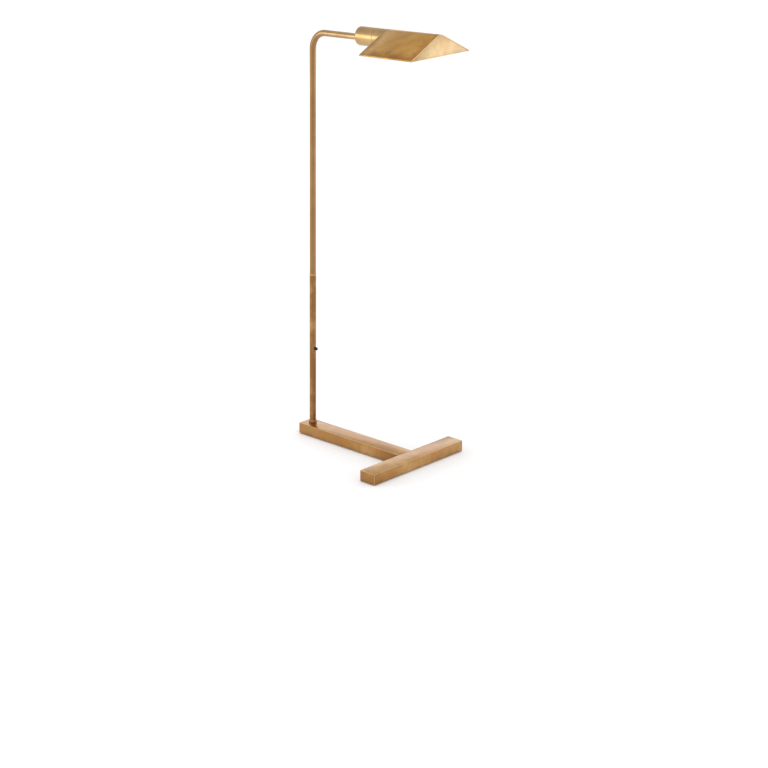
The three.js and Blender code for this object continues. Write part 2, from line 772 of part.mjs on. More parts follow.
// ---------------------------------------------------------------- the lamp
const lamp = new THREE.Group();
lamp.position.x = poleX;
buildBase(lamp);
buildPole(lamp);
buildLeadAndGland(lamp);
buildLock(lamp);
buildRiser(lamp);

const arm = new THREE.Group();
arm.position.z = armHeight;
arm.rotation.y = -armRise;
lamp.add(arm);
buildArmFixings(arm);

const head = new THREE.Group();
head.position.z = cupRise;
arm.add(head);
buildCup(head);
buildHolder(head);
buildBulb(head);
buildShade(head);

const part = new THREE.Group();
part.add(lamp);
export default part;
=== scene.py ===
"""Looks of an adjustable-arm floor lamp in aged brass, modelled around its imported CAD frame.

Every length is in metres. +Z is up, and +X runs from the pole along the base's leg and under
the arm, towards the shade. Each class models and dresses one sub-assembly of the lamp.
"""

import json
import logging
import math
from collections.abc import Callable, Iterator, Sequence
from contextlib import contextmanager
from dataclasses import dataclass, field
from enum import Enum
from typing import Any

import bpy
from mathutils import Matrix, Vector


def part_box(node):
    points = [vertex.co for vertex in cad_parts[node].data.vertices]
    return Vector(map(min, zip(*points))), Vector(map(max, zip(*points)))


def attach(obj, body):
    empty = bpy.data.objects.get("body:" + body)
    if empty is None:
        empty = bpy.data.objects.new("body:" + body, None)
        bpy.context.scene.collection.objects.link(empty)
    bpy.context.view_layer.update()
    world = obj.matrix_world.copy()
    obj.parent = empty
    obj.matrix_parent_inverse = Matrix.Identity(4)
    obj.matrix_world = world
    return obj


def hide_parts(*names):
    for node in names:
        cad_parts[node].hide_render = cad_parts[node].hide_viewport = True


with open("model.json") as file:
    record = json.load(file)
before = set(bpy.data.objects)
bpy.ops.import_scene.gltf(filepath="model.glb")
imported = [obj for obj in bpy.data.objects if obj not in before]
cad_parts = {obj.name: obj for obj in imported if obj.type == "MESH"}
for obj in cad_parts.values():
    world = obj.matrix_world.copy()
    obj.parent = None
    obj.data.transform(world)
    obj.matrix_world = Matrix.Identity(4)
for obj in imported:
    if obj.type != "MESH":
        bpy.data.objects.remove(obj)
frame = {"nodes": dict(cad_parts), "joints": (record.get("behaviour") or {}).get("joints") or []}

log = logging.getLogger("lamp")

Colour = tuple[float, float, float]
Point2 = tuple[float, float]

MM = 0.001
FINE = 96  # sides of a large round piece
PLAIN = 64  # sides of a tube or a turned ring
SMALL = 32  # sides of a screw or a pad
POLE_RADIUS = 9.1 * MM  # of the outer tube
LOCK_HOLE = 2.6 * MM  # radius of the height lock's hole
CUP_RADIUS = 25 * MM
TO_X = Matrix.Rotation(math.pi / 2, 4, "Y")  # lays what was made about Z along X
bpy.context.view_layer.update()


def moved(x: float = 0.0, y: float = 0.0, z: float = 0.0) -> Matrix:
    """A move without a turn."""
    return Matrix.Translation((x, y, z))


def middle(node: str) -> tuple[float, float, float]:
    """Centre of a CAD node's box."""
    return tuple((a + b) / 2 for a, b in zip(*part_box(node)))


# ------------------------------------------------------------------ shader graphs
class Wire:
    """One output of a shader node, which can be used in Python expressions."""

    def __init__(self, graph: "Graph", socket: bpy.types.NodeSocket) -> None:
        """Keeps the graph and the socket that the value comes from."""
        self.graph = graph
        self.socket = socket

    def __add__(self, other: "Wire | float") -> "Wire":
        """Sum of two values."""
        return self.graph.maths("ADD", self, other)

    __radd__ = __add__

    def __sub__(self, other: "Wire | float") -> "Wire":
        """This value less another."""
        return self.graph.maths("SUBTRACT", self, other)

    def __rsub__(self, other: "Wire | float") -> "Wire":
        """Another value less this one."""
        return self.graph.maths("SUBTRACT", other, self)

    def __mul__(self, other: "Wire | float") -> "Wire":
        """Product of two values."""
        return self.graph.maths("MULTIPLY", self, other)

    __rmul__ = __mul__

    def __abs__(self) -> "Wire":
        """Size of the value, whatever its sign."""
        return self.graph.maths("ABSOLUTE", self)

    def most(self, other: "Wire | float") -> "Wire":
        """The larger of two values."""
        return self.graph.maths("MAXIMUM", self, other)

    def least(self, other: "Wire | float") -> "Wire":
        """The smaller of two values."""
        return self.graph.maths("MINIMUM", self, other)

    def between(self, low: float, high: float) -> "Wire":
        """A smooth rise from 0 at low to 1 at high, or a fall where low is the larger."""
        if low > high:
            return 1 - self.between(high, low)
        settings = {"interpolation_type": "SMOOTHSTEP"}
        sockets = {"Value": self, "From Min": low, "From Max": high}
        return self.graph.node("ShaderNodeMapRange", settings, sockets)


class Graph:
    """The shader graph of one material."""

    def __init__(self, name: str) -> None:
        """Makes a material with an empty graph.

        Args:
            name: Name of the material.
        """
        self.material = bpy.data.materials.new(name)
        self.material.use_nodes = True
        self.tree = self.material.node_tree
        self.tree.nodes.clear()

    def node(
        self,
        kind: str,
        settings: dict[str, Any] | None = None,
        sockets: dict[str, Any] | None = None,
        output: str | int = 0,
    ) -> "Wire | None":
        """Adds one node.

        Args:
            kind: The node's type.
            settings: Its properties, and the stops of a colour ramp.
            sockets: Values or wires of its inputs, by name or identifier.
            output: Name or number of the output that is returned.

        Returns:
            The output asked for, or None from a node that has none.
        """
        made = self.tree.nodes.new(kind)
        for key, value in (settings or {}).items():
            if key == "stops":
                self._set_stops(made.color_ramp, value)
            else:
                setattr(made, key, value)
        for key, value in (sockets or {}).items():
            target = self._input(made, key)
            if isinstance(value, Wire):
                self.tree.links.new(value.socket, target)
            elif target.type == "RGBA" and len(value) == 3:
                target.default_value = (*value, 1.0)
            else:
                target.default_value = value
        if not made.outputs:
            return None
        if isinstance(output, int):
            return Wire(self, made.outputs[output])
        found = next(s for s in made.outputs if output in (s.name, s.identifier))
        return Wire(self, found)

    @staticmethod
    def _input(made: bpy.types.Node, key: str) -> bpy.types.NodeSocket:
        """Finds an input by its identifier or else its name."""
        by_identifier = [s for s in made.inputs if s.identifier == key]
        return (by_identifier or [s for s in made.inputs if s.name == key])[0]

    @staticmethod
    def _set_stops(ramp: bpy.types.ColorRamp, stops: Sequence[tuple[float, Colour]]) -> None:
        """Gives a colour ramp its stops."""
        while len(ramp.elements) < len(stops):
            ramp.elements.new(1.0)
        for element, (place, colour) in zip(ramp.elements, stops):
            element.position = place
            element.color = (*colour, 1.0)

    def _operate(self, kind: str, operation: str, *values: Any) -> Wire:
        """Adds a node for one operation on two values."""
        made = self.node(kind, {"operation": operation})
        for socket, value in zip(made.socket.node.inputs, values):
            if isinstance(value, Wire):
                self.tree.links.new(value.socket, socket)
            else:
                socket.default_value = value
        return made

    def maths(self, operation: str, first: Wire | float, second: Wire | float = 0.0) -> Wire:
        """Adds a Math node for one operation on two numbers."""
        return self._operate("ShaderNodeMath", operation, first, second)

    def vector(self, operation: str, first: Wire, second: Wire | Sequence[float]) -> Wire:
        """Adds a Vector Math node for one operation on two vectors."""
        return self._operate("ShaderNodeVectorMath", operation, first, second)

    def split(self, vector: Wire) -> tuple[Wire, Wire, Wire]:
        """The X, Y and Z of a vector."""
        made = self.node("ShaderNodeSeparateXYZ", None, {"Vector": vector})
        return tuple(Wire(self, socket) for socket in made.socket.node.outputs)

    def noise(self, place: Wire, repeats: Sequence[float], detail: float = 3.0) -> Wire:
        """Noise with its own number of repeats per metre along each axis, from 0 to 1."""
        stretched = self.vector("MULTIPLY", place, repeats)
        settings = {"noise_dimensions": "3D"}
        sockets = {"Vector": stretched, "Scale": 1.0, "Detail": detail, "Roughness": 0.55}
        return self.node("ShaderNodeTexNoise", settings, sockets)

    def blend(self, share: "Wire | float", first: "Wire | Colour", second: "Wire | Colour") -> Wire:
        """Mixes two colours."""
        sockets = {"Factor_Float": share, "A_Color": first, "B_Color": second}
        return self.node("ShaderNodeMix", {"data_type": "RGBA"}, sockets, "Result_Color")

    def surface(
        self, sockets: dict[str, Any], bump: Wire | None = None, depth: float = 0.0
    ) -> None:
        """Ends the graph in a Principled shader.

        Args:
            sockets: Values or wires of the shader's inputs.
            bump: Height of the surface's relief, from 0 to 1.
            depth: Depth of that relief in metres.
        """
        inputs = dict(sockets)
        if bump is not None:
            relief = {"Height": bump, "Distance": depth, "Strength": 1.0}
            inputs["Normal"] = self.node("ShaderNodeBump", None, relief)
        shader = self.node("ShaderNodeBsdfPrincipled", None, inputs)
        self.node("ShaderNodeOutputMaterial", None, {"Surface": shader})


# ------------------------------------------------------------------ where a pattern lies
@dataclass(frozen=True)
class Frame:
    """A turned and moved set of axes that a pattern or a piece is laid out in."""

    origin: tuple[float, float, float] = (0.0, 0.0, 0.0)
    tilt: float = 0.0  # of the X axis above level, in radians
    attribute: str = ""  # a mesh attribute that takes the place of the axes

    def matrix(self) -> Matrix:
        """Places something made in these axes in the lamp."""
        return Matrix.Translation(self.origin) @ Matrix.Rotation(-self.tilt, 4, "Y")

    def place(self, graph: Graph) -> Wire:
        """The position on the surface, in these axes."""
        if self.attribute:
            settings = {"attribute_name": self.attribute, "attribute_type": "GEOMETRY"}
            return graph.node("ShaderNodeAttribute", settings, None, "Vector")
        coordinates = graph.node("ShaderNodeTexCoord", None, None, "Object")
        sockets = {"Vector": coordinates, "Location": self.origin, "Rotation": (0, -self.tilt, 0)}
        return graph.node("ShaderNodeMapping", {"vector_type": "TEXTURE"}, sockets)


Mask = Callable[[Graph, Wire], Wire]


@dataclass(frozen=True)
class BlockEdges:
    """How far a point on a rectangular block is from the block's nearest edge."""

    centre: tuple[float, float, float]
    half: tuple[float, float, float]

    @classmethod
    def between(cls, low: Sequence[float], high: Sequence[float]) -> "BlockEdges":
        """The edges of a block between its lowest corner and its highest."""
        centre = tuple((a + b) / 2 for a, b in zip(low, high))
        return cls(centre, tuple((b - a) / 2 for a, b in zip(low, high)))

    def __call__(self, graph: Graph, place: Wire) -> Wire:
        """Distance to the nearest edge, in metres."""
        offset = graph.vector("SUBTRACT", place, self.centre)
        size = graph.node("ShaderNodeVectorMath", {"operation": "ABSOLUTE"}, {"Vector": offset})
        x, y, z = graph.split(graph.vector("SUBTRACT", size, self.half))
        return x.most(y).most(z) + x.least(y).least(z) - (x + y + z)


@dataclass(frozen=True)
class SheetEdges:
    """How far a point on the shade's roof is from the roof's nearest end or eave."""

    start: float
    end: float
    half_width: float
    eave: float  # height of the eaves, below which the lips are bright
    rear_stretch: float = 1.4  # of distances from the rear end, which is cleaner
    lip_gain: float = 20.0  # of the distance below the eaves

    def __call__(self, graph: Graph, place: Wire) -> Wire:
        """Distance to the nearest edge, in metres, stretched at the rear end and on the lips."""
        x, y, z = graph.split(place)
        ends = ((x - self.start) * self.rear_stretch).least(self.end - x)
        lips = (self.eave - z).most(0.0) * self.lip_gain
        return ends.least(self.half_width - abs(y)) + lips


@dataclass(frozen=True)
class GableEdges:
    """How far a point on a gable is from the gable's nearest side."""

    apex: float
    foot: float
    slope: float

    def __call__(self, graph: Graph, place: Wire) -> Wire:
        """Distance to the nearest side, in metres."""
        _, y, z = graph.split(place)
        rafter = (self.apex - z - abs(y) * math.tan(self.slope)) * math.cos(self.slope)
        return rafter.least(z - self.foot)


@dataclass(frozen=True)
class Fading:
    """A share that falls smoothly from one place along an axis to another."""

    axis: int
    full: float
    none: float
    share: float
    below: float = math.inf  # height above which there is none of it
    soft: float = 1.5 * MM  # height that it comes back over

    def __call__(self, graph: Graph, place: Wire) -> Wire:
        """The share at a point."""
        parts = graph.split(place)
        fall = parts[self.axis].between(self.none, self.full) * self.share
        if math.isinf(self.below):
            return fall
        return fall * parts[2].between(self.below, self.below - self.soft)


# ------------------------------------------------------------------ finishes
class Grain(Enum):
    """Direction that the fine polishing lines run in."""

    ALONG_X = (14.0, 1500.0, 1500.0)
    ALONG_Y = (1500.0, 14.0, 1500.0)
    ALONG_Z = (1500.0, 1500.0, 14.0)
    ROUND_X = (1500.0, 14.0, 14.0)
    ROUND_Z = (14.0, 14.0, 1500.0)
    CROSS_X = (1500.0, 24.0, 24.0)
    CROSS_Y = (24.0, 1500.0, 24.0)


@dataclass(frozen=True)
class AgedBrass:
    """Brass that was polished along one direction, darkened by age and lacquered, with painted
    shade wherever a dark mask is given.
    """

    name: str
    grain: Grain
    frame: Frame = field(default_factory=Frame)
    edges: Mask | None = None
    body: Colour = (0.47, 0.265, 0.088)
    pale: Colour = (0.62, 0.40, 0.165)
    brown: Colour = (0.24, 0.092, 0.026)
    roughness: float = 0.34
    coat: float = 0.45
    streaks: float = 1.0  # strength of the bands and lines along the grain
    stain: float = 0.5  # strength of the brown stain along edges
    stain_reach: float = 0.012
    relief: float = 12e-6
    shift: tuple[float, float, float] = (0.0, 0.0, 0.0)
    dark: Mask | None = None  # share of the brown where a part of the piece is darker: painted shade on the leg, the crossbar, the upright tube and the cup's top, and a darker tone on the roof's front
    wear_and_sheen_reach: float = 1.6 * MM  # width of the pale line along an edge, partly wear and partly painted highlight
    wear_and_sheen_share: float = 0.75

    def make(self) -> bpy.types.Material:
        """Makes the material."""
        graph = Graph(self.name)
        place = self.frame.place(graph)
        spot = graph.vector("ADD", place, self.shift)
        wide = graph.noise(spot, (7.0, 7.0, 7.0), 2.0)
        patches = graph.noise(spot, (38.0, 38.0, 38.0), 4.0)
        grain = self.grain.value
        bands = graph.noise(spot, [value * 0.18 for value in grain], 3.0)
        lines = graph.noise(spot, grain, 2.0)
        specks = graph.noise(spot, (420.0, 420.0, 420.0), 2.0)

        tone = 0.5 + (wide - 0.5) * 0.9 + (patches - 0.5) * 0.5
        tone = tone + (bands - 0.5) * (0.45 * self.streaks) + (lines - 0.5) * (0.35 * self.streaks)
        dusky = self._mid(self.brown, self.body, 0.45)
        stops = [(0.18, dusky), (0.5, self.body), (0.85, self.pale)]
        colour = graph.node("ShaderNodeValToRGB", {"stops": stops}, {"Fac": tone})
        # the dark mask blends in brown, which is painted shade on most pieces that use it
        if self.dark:
            colour = graph.blend(self.dark(graph, place), colour, self.brown)
        pits = specks.between(0.70, 0.78) * 0.5
        colour = graph.blend(pits, colour, self.brown)
        age = pits * 0.4
        if self.edges:
            distance = self.edges(graph, place)
            ragged = distance + (patches - 0.5) * self.stain_reach * 1.6
            stain = ragged.between(self.stain_reach, 0.0) * self.stain
            colour = graph.blend(stain, colour, self.brown)
            # pale line along the edges: partly rubbed wear, partly a painted highlight
            wear_and_sheen = distance.between(self.wear_and_sheen_reach, self.wear_and_sheen_reach / 4) * self.wear_and_sheen_share
            colour = graph.blend(wear_and_sheen, colour, self.pale)
            age = age + stain * 0.5
        rough = self.roughness + (bands - 0.5) * 0.10 + (lines - 0.5) * 0.12 + age * 0.12
        sockets = {
            "Base Color": colour,
            "Metallic": 1.0,
            "Roughness": rough,
            "Coat Weight": self.coat,
            "Coat Roughness": 0.2,
        }
        graph.surface(sockets, lines * 0.7 + bands * 0.3 - pits * 0.6, self.relief)
        return graph.material

    @staticmethod
    def _mid(first: Colour, second: Colour, share: float) -> Colour:
        """A colour part of the way between two others."""
        return tuple(a + (b - a) * share for a, b in zip(first, second))


@dataclass(frozen=True)
class PlatedSteel:
    """Zinc-plated steel with a faint spangle."""

    name: str = "plated_steel_finish"
    colour: Colour = (0.55, 0.55, 0.54)

    def make(self) -> bpy.types.Material:
        """Makes the material."""
        graph = Graph(self.name)
        place = Frame().place(graph)
        cloud = graph.noise(place, (160.0, 160.0, 160.0), 3.0)
        lines = graph.noise(place, (900.0, 900.0, 900.0), 2.0)
        dull = tuple(value * 0.62 for value in self.colour)
        colour = graph.blend(cloud.between(0.35, 0.7) * 0.6, self.colour, dull)
        rough = 0.26 + cloud * 0.2 + (lines - 0.5) * 0.1
        sockets = {"Base Color": colour, "Metallic": 1.0, "Roughness": rough}
        graph.surface(sockets, lines, 15e-6)
        return graph.material


@dataclass(frozen=True)
class Moulded:
    """A moulded plastic, rubber or glazed ceramic, with a fine surface and faint soiling."""

    name: str
    colour: Colour
    roughness: float
    relief: float = 20e-6
    repeats: float = 1200.0
    coat: float = 0.0

    def make(self) -> bpy.types.Material:
        """Makes the material."""
        graph = Graph(self.name)
        place = Frame().place(graph)
        cloud = graph.noise(place, (60.0, 60.0, 60.0), 4.0)
        skin = graph.noise(place, (self.repeats,) * 3, 2.0)
        soiled = tuple(value * 0.78 for value in self.colour)
        colour = graph.blend(cloud.between(0.4, 0.75), self.colour, soiled)
        rough = self.roughness + (cloud - 0.5) * 0.14 + (skin - 0.5) * 0.08
        sockets = {"Base Color": colour, "Roughness": rough, "Coat Weight": self.coat}
        graph.surface(sockets, skin, self.relief)
        return graph.material


@dataclass(frozen=True)
class FrostedGlass:
    """Glass of a tubular bulb, frosted on the inside."""

    name: str = "frosted_glass_finish"
    colour: Colour = (0.93, 0.92, 0.89)

    def make(self) -> bpy.types.Material:
        """Makes the material."""
        graph = Graph(self.name)
        place = Frame().place(graph)
        frost = graph.noise(place, (500.0, 500.0, 500.0), 3.0)
        cloud = graph.noise(place, (40.0, 40.0, 40.0), 2.0)
        shaded = tuple(value * 0.93 for value in self.colour)
        sockets = {
            "Base Color": graph.blend(cloud, self.colour, shaded),
            "Roughness": 0.3 + frost * 0.14,
            "Transmission Weight": 0.55,
            "IOR": 1.5,
        }
        graph.surface(sockets, frost, 8e-6)
        return graph.material


# ------------------------------------------------------------------ modelling
class Bench:
    """The modelling steps that the pieces share, each one an operator or a short run of them."""

    @staticmethod
    def clear() -> None:
        """Leaves edit mode and deselects everything."""
        if bpy.context.object and bpy.context.object.mode != "OBJECT":
            bpy.ops.object.mode_set(mode="OBJECT")
        bpy.ops.object.select_all(action="DESELECT")

    @staticmethod
    def pick(piece: bpy.types.Object) -> None:
        """Makes one piece the only one selected."""
        Bench.clear()
        piece.select_set(True)
        bpy.context.view_layer.objects.active = piece

    @staticmethod
    @contextmanager
    def editing(piece: bpy.types.Object) -> Iterator[None]:
        """Edits one piece's mesh for as long as the block lasts."""
        Bench.pick(piece)
        bpy.ops.object.mode_set(mode="EDIT")
        yield
        bpy.ops.object.mode_set(mode="OBJECT")

    @staticmethod
    def named(name: str) -> bpy.types.Object:
        """Names the piece just added."""
        piece = bpy.context.object
        piece.name = name
        piece.data.name = name
        return piece

    @staticmethod
    def block(name: str, low: Sequence[float], high: Sequence[float]) -> bpy.types.Object:
        """A block from its lowest corner to its highest."""
        Bench.clear()
        place = [(a + b) / 2 for a, b in zip(low, high)]
        size = [b - a for a, b in zip(low, high)]
        bpy.ops.mesh.primitive_cube_add(size=1.0, location=place, scale=size)
        piece = Bench.named(name)
        Bench.settle(piece)
        return piece

    @staticmethod
    def rod(
        name: str, radius: float, low: float, high: float, sides: int = SMALL
    ) -> bpy.types.Object:
        """A plain round or many-sided bar on the Z axis, as a cutter or a start."""
        Bench.clear()
        place = (0.0, 0.0, (low + high) / 2)
        settings = {"vertices": sides, "radius": radius, "depth": high - low, "location": place}
        bpy.ops.mesh.primitive_cylinder_add(**settings)
        piece = Bench.named(name)
        Bench.settle(piece)
        return piece

    @staticmethod
    def outline(name: str, points: Sequence[Sequence[float]]) -> bpy.types.Object:
        """A chain of edges through points: a plane merged to one vertex, then extruded on."""
        Bench.clear()
        bpy.ops.mesh.primitive_plane_add(size=MM)
        piece = Bench.named(name)
        with Bench.editing(piece):
            bpy.ops.mesh.select_mode(type="VERT")
            bpy.ops.mesh.select_all(action="SELECT")
            bpy.ops.mesh.merge(type="CENTER")
            bpy.ops.transform.translate(value=points[0])
            for last, point in zip(points, points[1:]):
                step = [b - a for a, b in zip(last, point)]
                bpy.ops.mesh.extrude_region_move(TRANSFORM_OT_translate={"value": step})
        return piece

    @staticmethod
    def turned(name: str, profile: Sequence[Point2], sides: int = PLAIN) -> bpy.types.Object:
        """A closed profile of (radius, height) points, spun about the Z axis."""
        points = [(radius, 0.0, height) for radius, height in [*profile, profile[0]]]
        piece = Bench.outline(name, points)
        with Bench.editing(piece):
            bpy.ops.mesh.select_all(action="SELECT")
            turn = {"steps": sides, "angle": math.tau, "center": (0, 0, 0), "axis": (0, 0, 1)}
            bpy.ops.mesh.spin(**turn)
            Bench.close()
        return piece

    @staticmethod
    def close() -> None:
        """Merges doubles and turns the faces outwards, in edit mode."""
        bpy.ops.mesh.select_all(action="SELECT")
        bpy.ops.mesh.remove_doubles(threshold=2e-6)
        bpy.ops.mesh.dissolve_degenerate(threshold=1e-7)
        bpy.ops.mesh.select_all(action="SELECT")
        bpy.ops.mesh.normals_make_consistent(inside=False)

    @staticmethod
    def settle(piece: bpy.types.Object) -> None:
        """Puts the piece's place, turn and scale in its mesh."""
        Bench.pick(piece)
        bpy.ops.object.transform_apply(location=True, rotation=True, scale=True)

    @staticmethod
    def lay(piece: bpy.types.Object, placing: Matrix) -> bpy.types.Object:
        """Moves and turns a piece made at the origin, and settles it."""
        piece.matrix_world = placing @ piece.matrix_world
        Bench.settle(piece)
        return piece

    @staticmethod
    def apply(piece: bpy.types.Object, kind: str, **settings: Any) -> bpy.types.Object:
        """Adds a modifier to the piece and applies it."""
        modifier = piece.modifiers.new(kind.lower(), kind)
        for key, value in settings.items():
            setattr(modifier, key, value)
        Bench.pick(piece)
        bpy.ops.object.modifier_apply(modifier=modifier.name)
        return piece

    @staticmethod
    def ease(piece: bpy.types.Object, width: float, segments: int = 2, angle: float = 40.0) -> None:
        """Rounds the edges sharper than an angle in degrees."""
        limit = {"limit_method": "ANGLE", "angle_limit": math.radians(angle)}
        Bench.apply(piece, "BEVEL", width=width, segments=segments, **limit)

    @staticmethod
    def cut(
        piece: bpy.types.Object, *cutters: bpy.types.Object, operation: str = "DIFFERENCE"
    ) -> None:
        """Cuts the piece with others, or joins them to it, and removes them."""
        for cutter in cutters:
            Bench.apply(piece, "BOOLEAN", object=cutter, operation=operation, solver="EXACT")
            bpy.data.objects.remove(cutter, do_unlink=True)

    @staticmethod
    def smooth(piece: bpy.types.Object, angle: float = 32.0) -> None:
        """Shades the piece smooth except across sharper edges."""
        Bench.pick(piece)
        bpy.ops.object.shade_smooth_by_angle(angle=math.radians(angle))

    @staticmethod
    def install(piece: bpy.types.Object, placing: Matrix, angle: float = 32.0) -> None:
        """Lays a finished piece in the lamp and shades it smooth."""
        Bench.lay(piece, placing)
        Bench.smooth(piece, angle)

    @staticmethod
    def copy(piece: bpy.types.Object, name: str, placing: Matrix) -> bpy.types.Object:
        """A copy of a piece with a mesh of its own, laid elsewhere."""
        twin = piece.copy()
        twin.data = piece.data.copy()
        twin.name = name
        twin.data.name = name
        bpy.context.collection.objects.link(twin)
        return Bench.lay(twin, placing)


def arc(centre: Point2, radius: float, start: float, end: float, steps: int) -> list[Point2]:
    """Points of an arc, with its angles in degrees."""
    angles = [math.radians(start + (end - start) * step / steps) for step in range(steps + 1)]
    return [(centre[0] + radius * math.cos(a), centre[1] + radius * math.sin(a)) for a in angles]


@dataclass
class Assembly:
    """A group of pieces that ride on the frame's bodies."""

    layout: "Layout"

    @staticmethod
    def fit(
        piece: bpy.types.Object, body: str, slot: str, look: bpy.types.Material, *stands_for: str
    ) -> None:
        """Dresses a finished piece and hands it to its body.

        Args:
            piece: The finished piece.
            body: The body that it rides on.
            slot: The record's material slot; not used.
            look: Its material.
            stands_for: The CAD nodes that it stands for.
        """
        piece.data.materials.clear()
        piece.data.materials.append(look)
        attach(piece, body)
        if stands_for:
            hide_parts(*stands_for)
        log.info("%s rides on %s, %d faces", piece.name, body, len(piece.data.polygons))

    @staticmethod
    def dress(look: bpy.types.Material, *nodes: str) -> None:
        """Gives CAD nodes that stay a material."""
        for node in nodes:
            shown = frame["nodes"][node]
            if not shown.material_slots:
                shown.data.materials.append(look)
            for slot in shown.material_slots:
                slot.material = look


# ------------------------------------------------------------------ places in the lamp
@dataclass(frozen=True)
class Layout:
    """Where the pole and the arm run, read from the frame."""

    pole_x: float
    floor_gap: float
    bar_top: float
    arm: Frame  # on the bent tube's axis, from the pole's axis
    head: Frame  # on the cup's axis, above it
    cup_rise: float = 3.7 * MM

    @classmethod
    def read(cls) -> "Layout":
        """Reads the places from the CAD nodes and the joint that the shade turns on."""
        pole_x = middle("outer_tube")[0]
        turn = next(joint for joint in frame["joints"] if joint["name"] == "shade_turn")
        anchor, axis = Vector(turn["pos_m"]), Vector(turn["axis"]).normalized()
        rise = Vector((-axis.z, 0.0, axis.x)) * cls.cup_rise
        on_tube = anchor - rise
        crossing = on_tube - axis * ((on_tube.x - pole_x) / axis.x)
        tilt = math.atan2(axis.z, axis.x)
        arm, head = Frame(tuple(crossing), tilt), Frame(tuple(crossing + rise), tilt)
        return cls(pole_x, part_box("base_leg")[0].z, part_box("base_leg")[1].z, arm, head)

    def upright(self, x: float = 0.0, y: float = 0.0, z: float = 0.0) -> Matrix:
        """A place given from the pole's axis at the floor."""
        return moved(self.pole_x + x, y, z)

    def along_cup(self) -> Matrix:
        """Lays a piece turned about Z along the cup's axis."""
        return self.head.matrix() @ TO_X


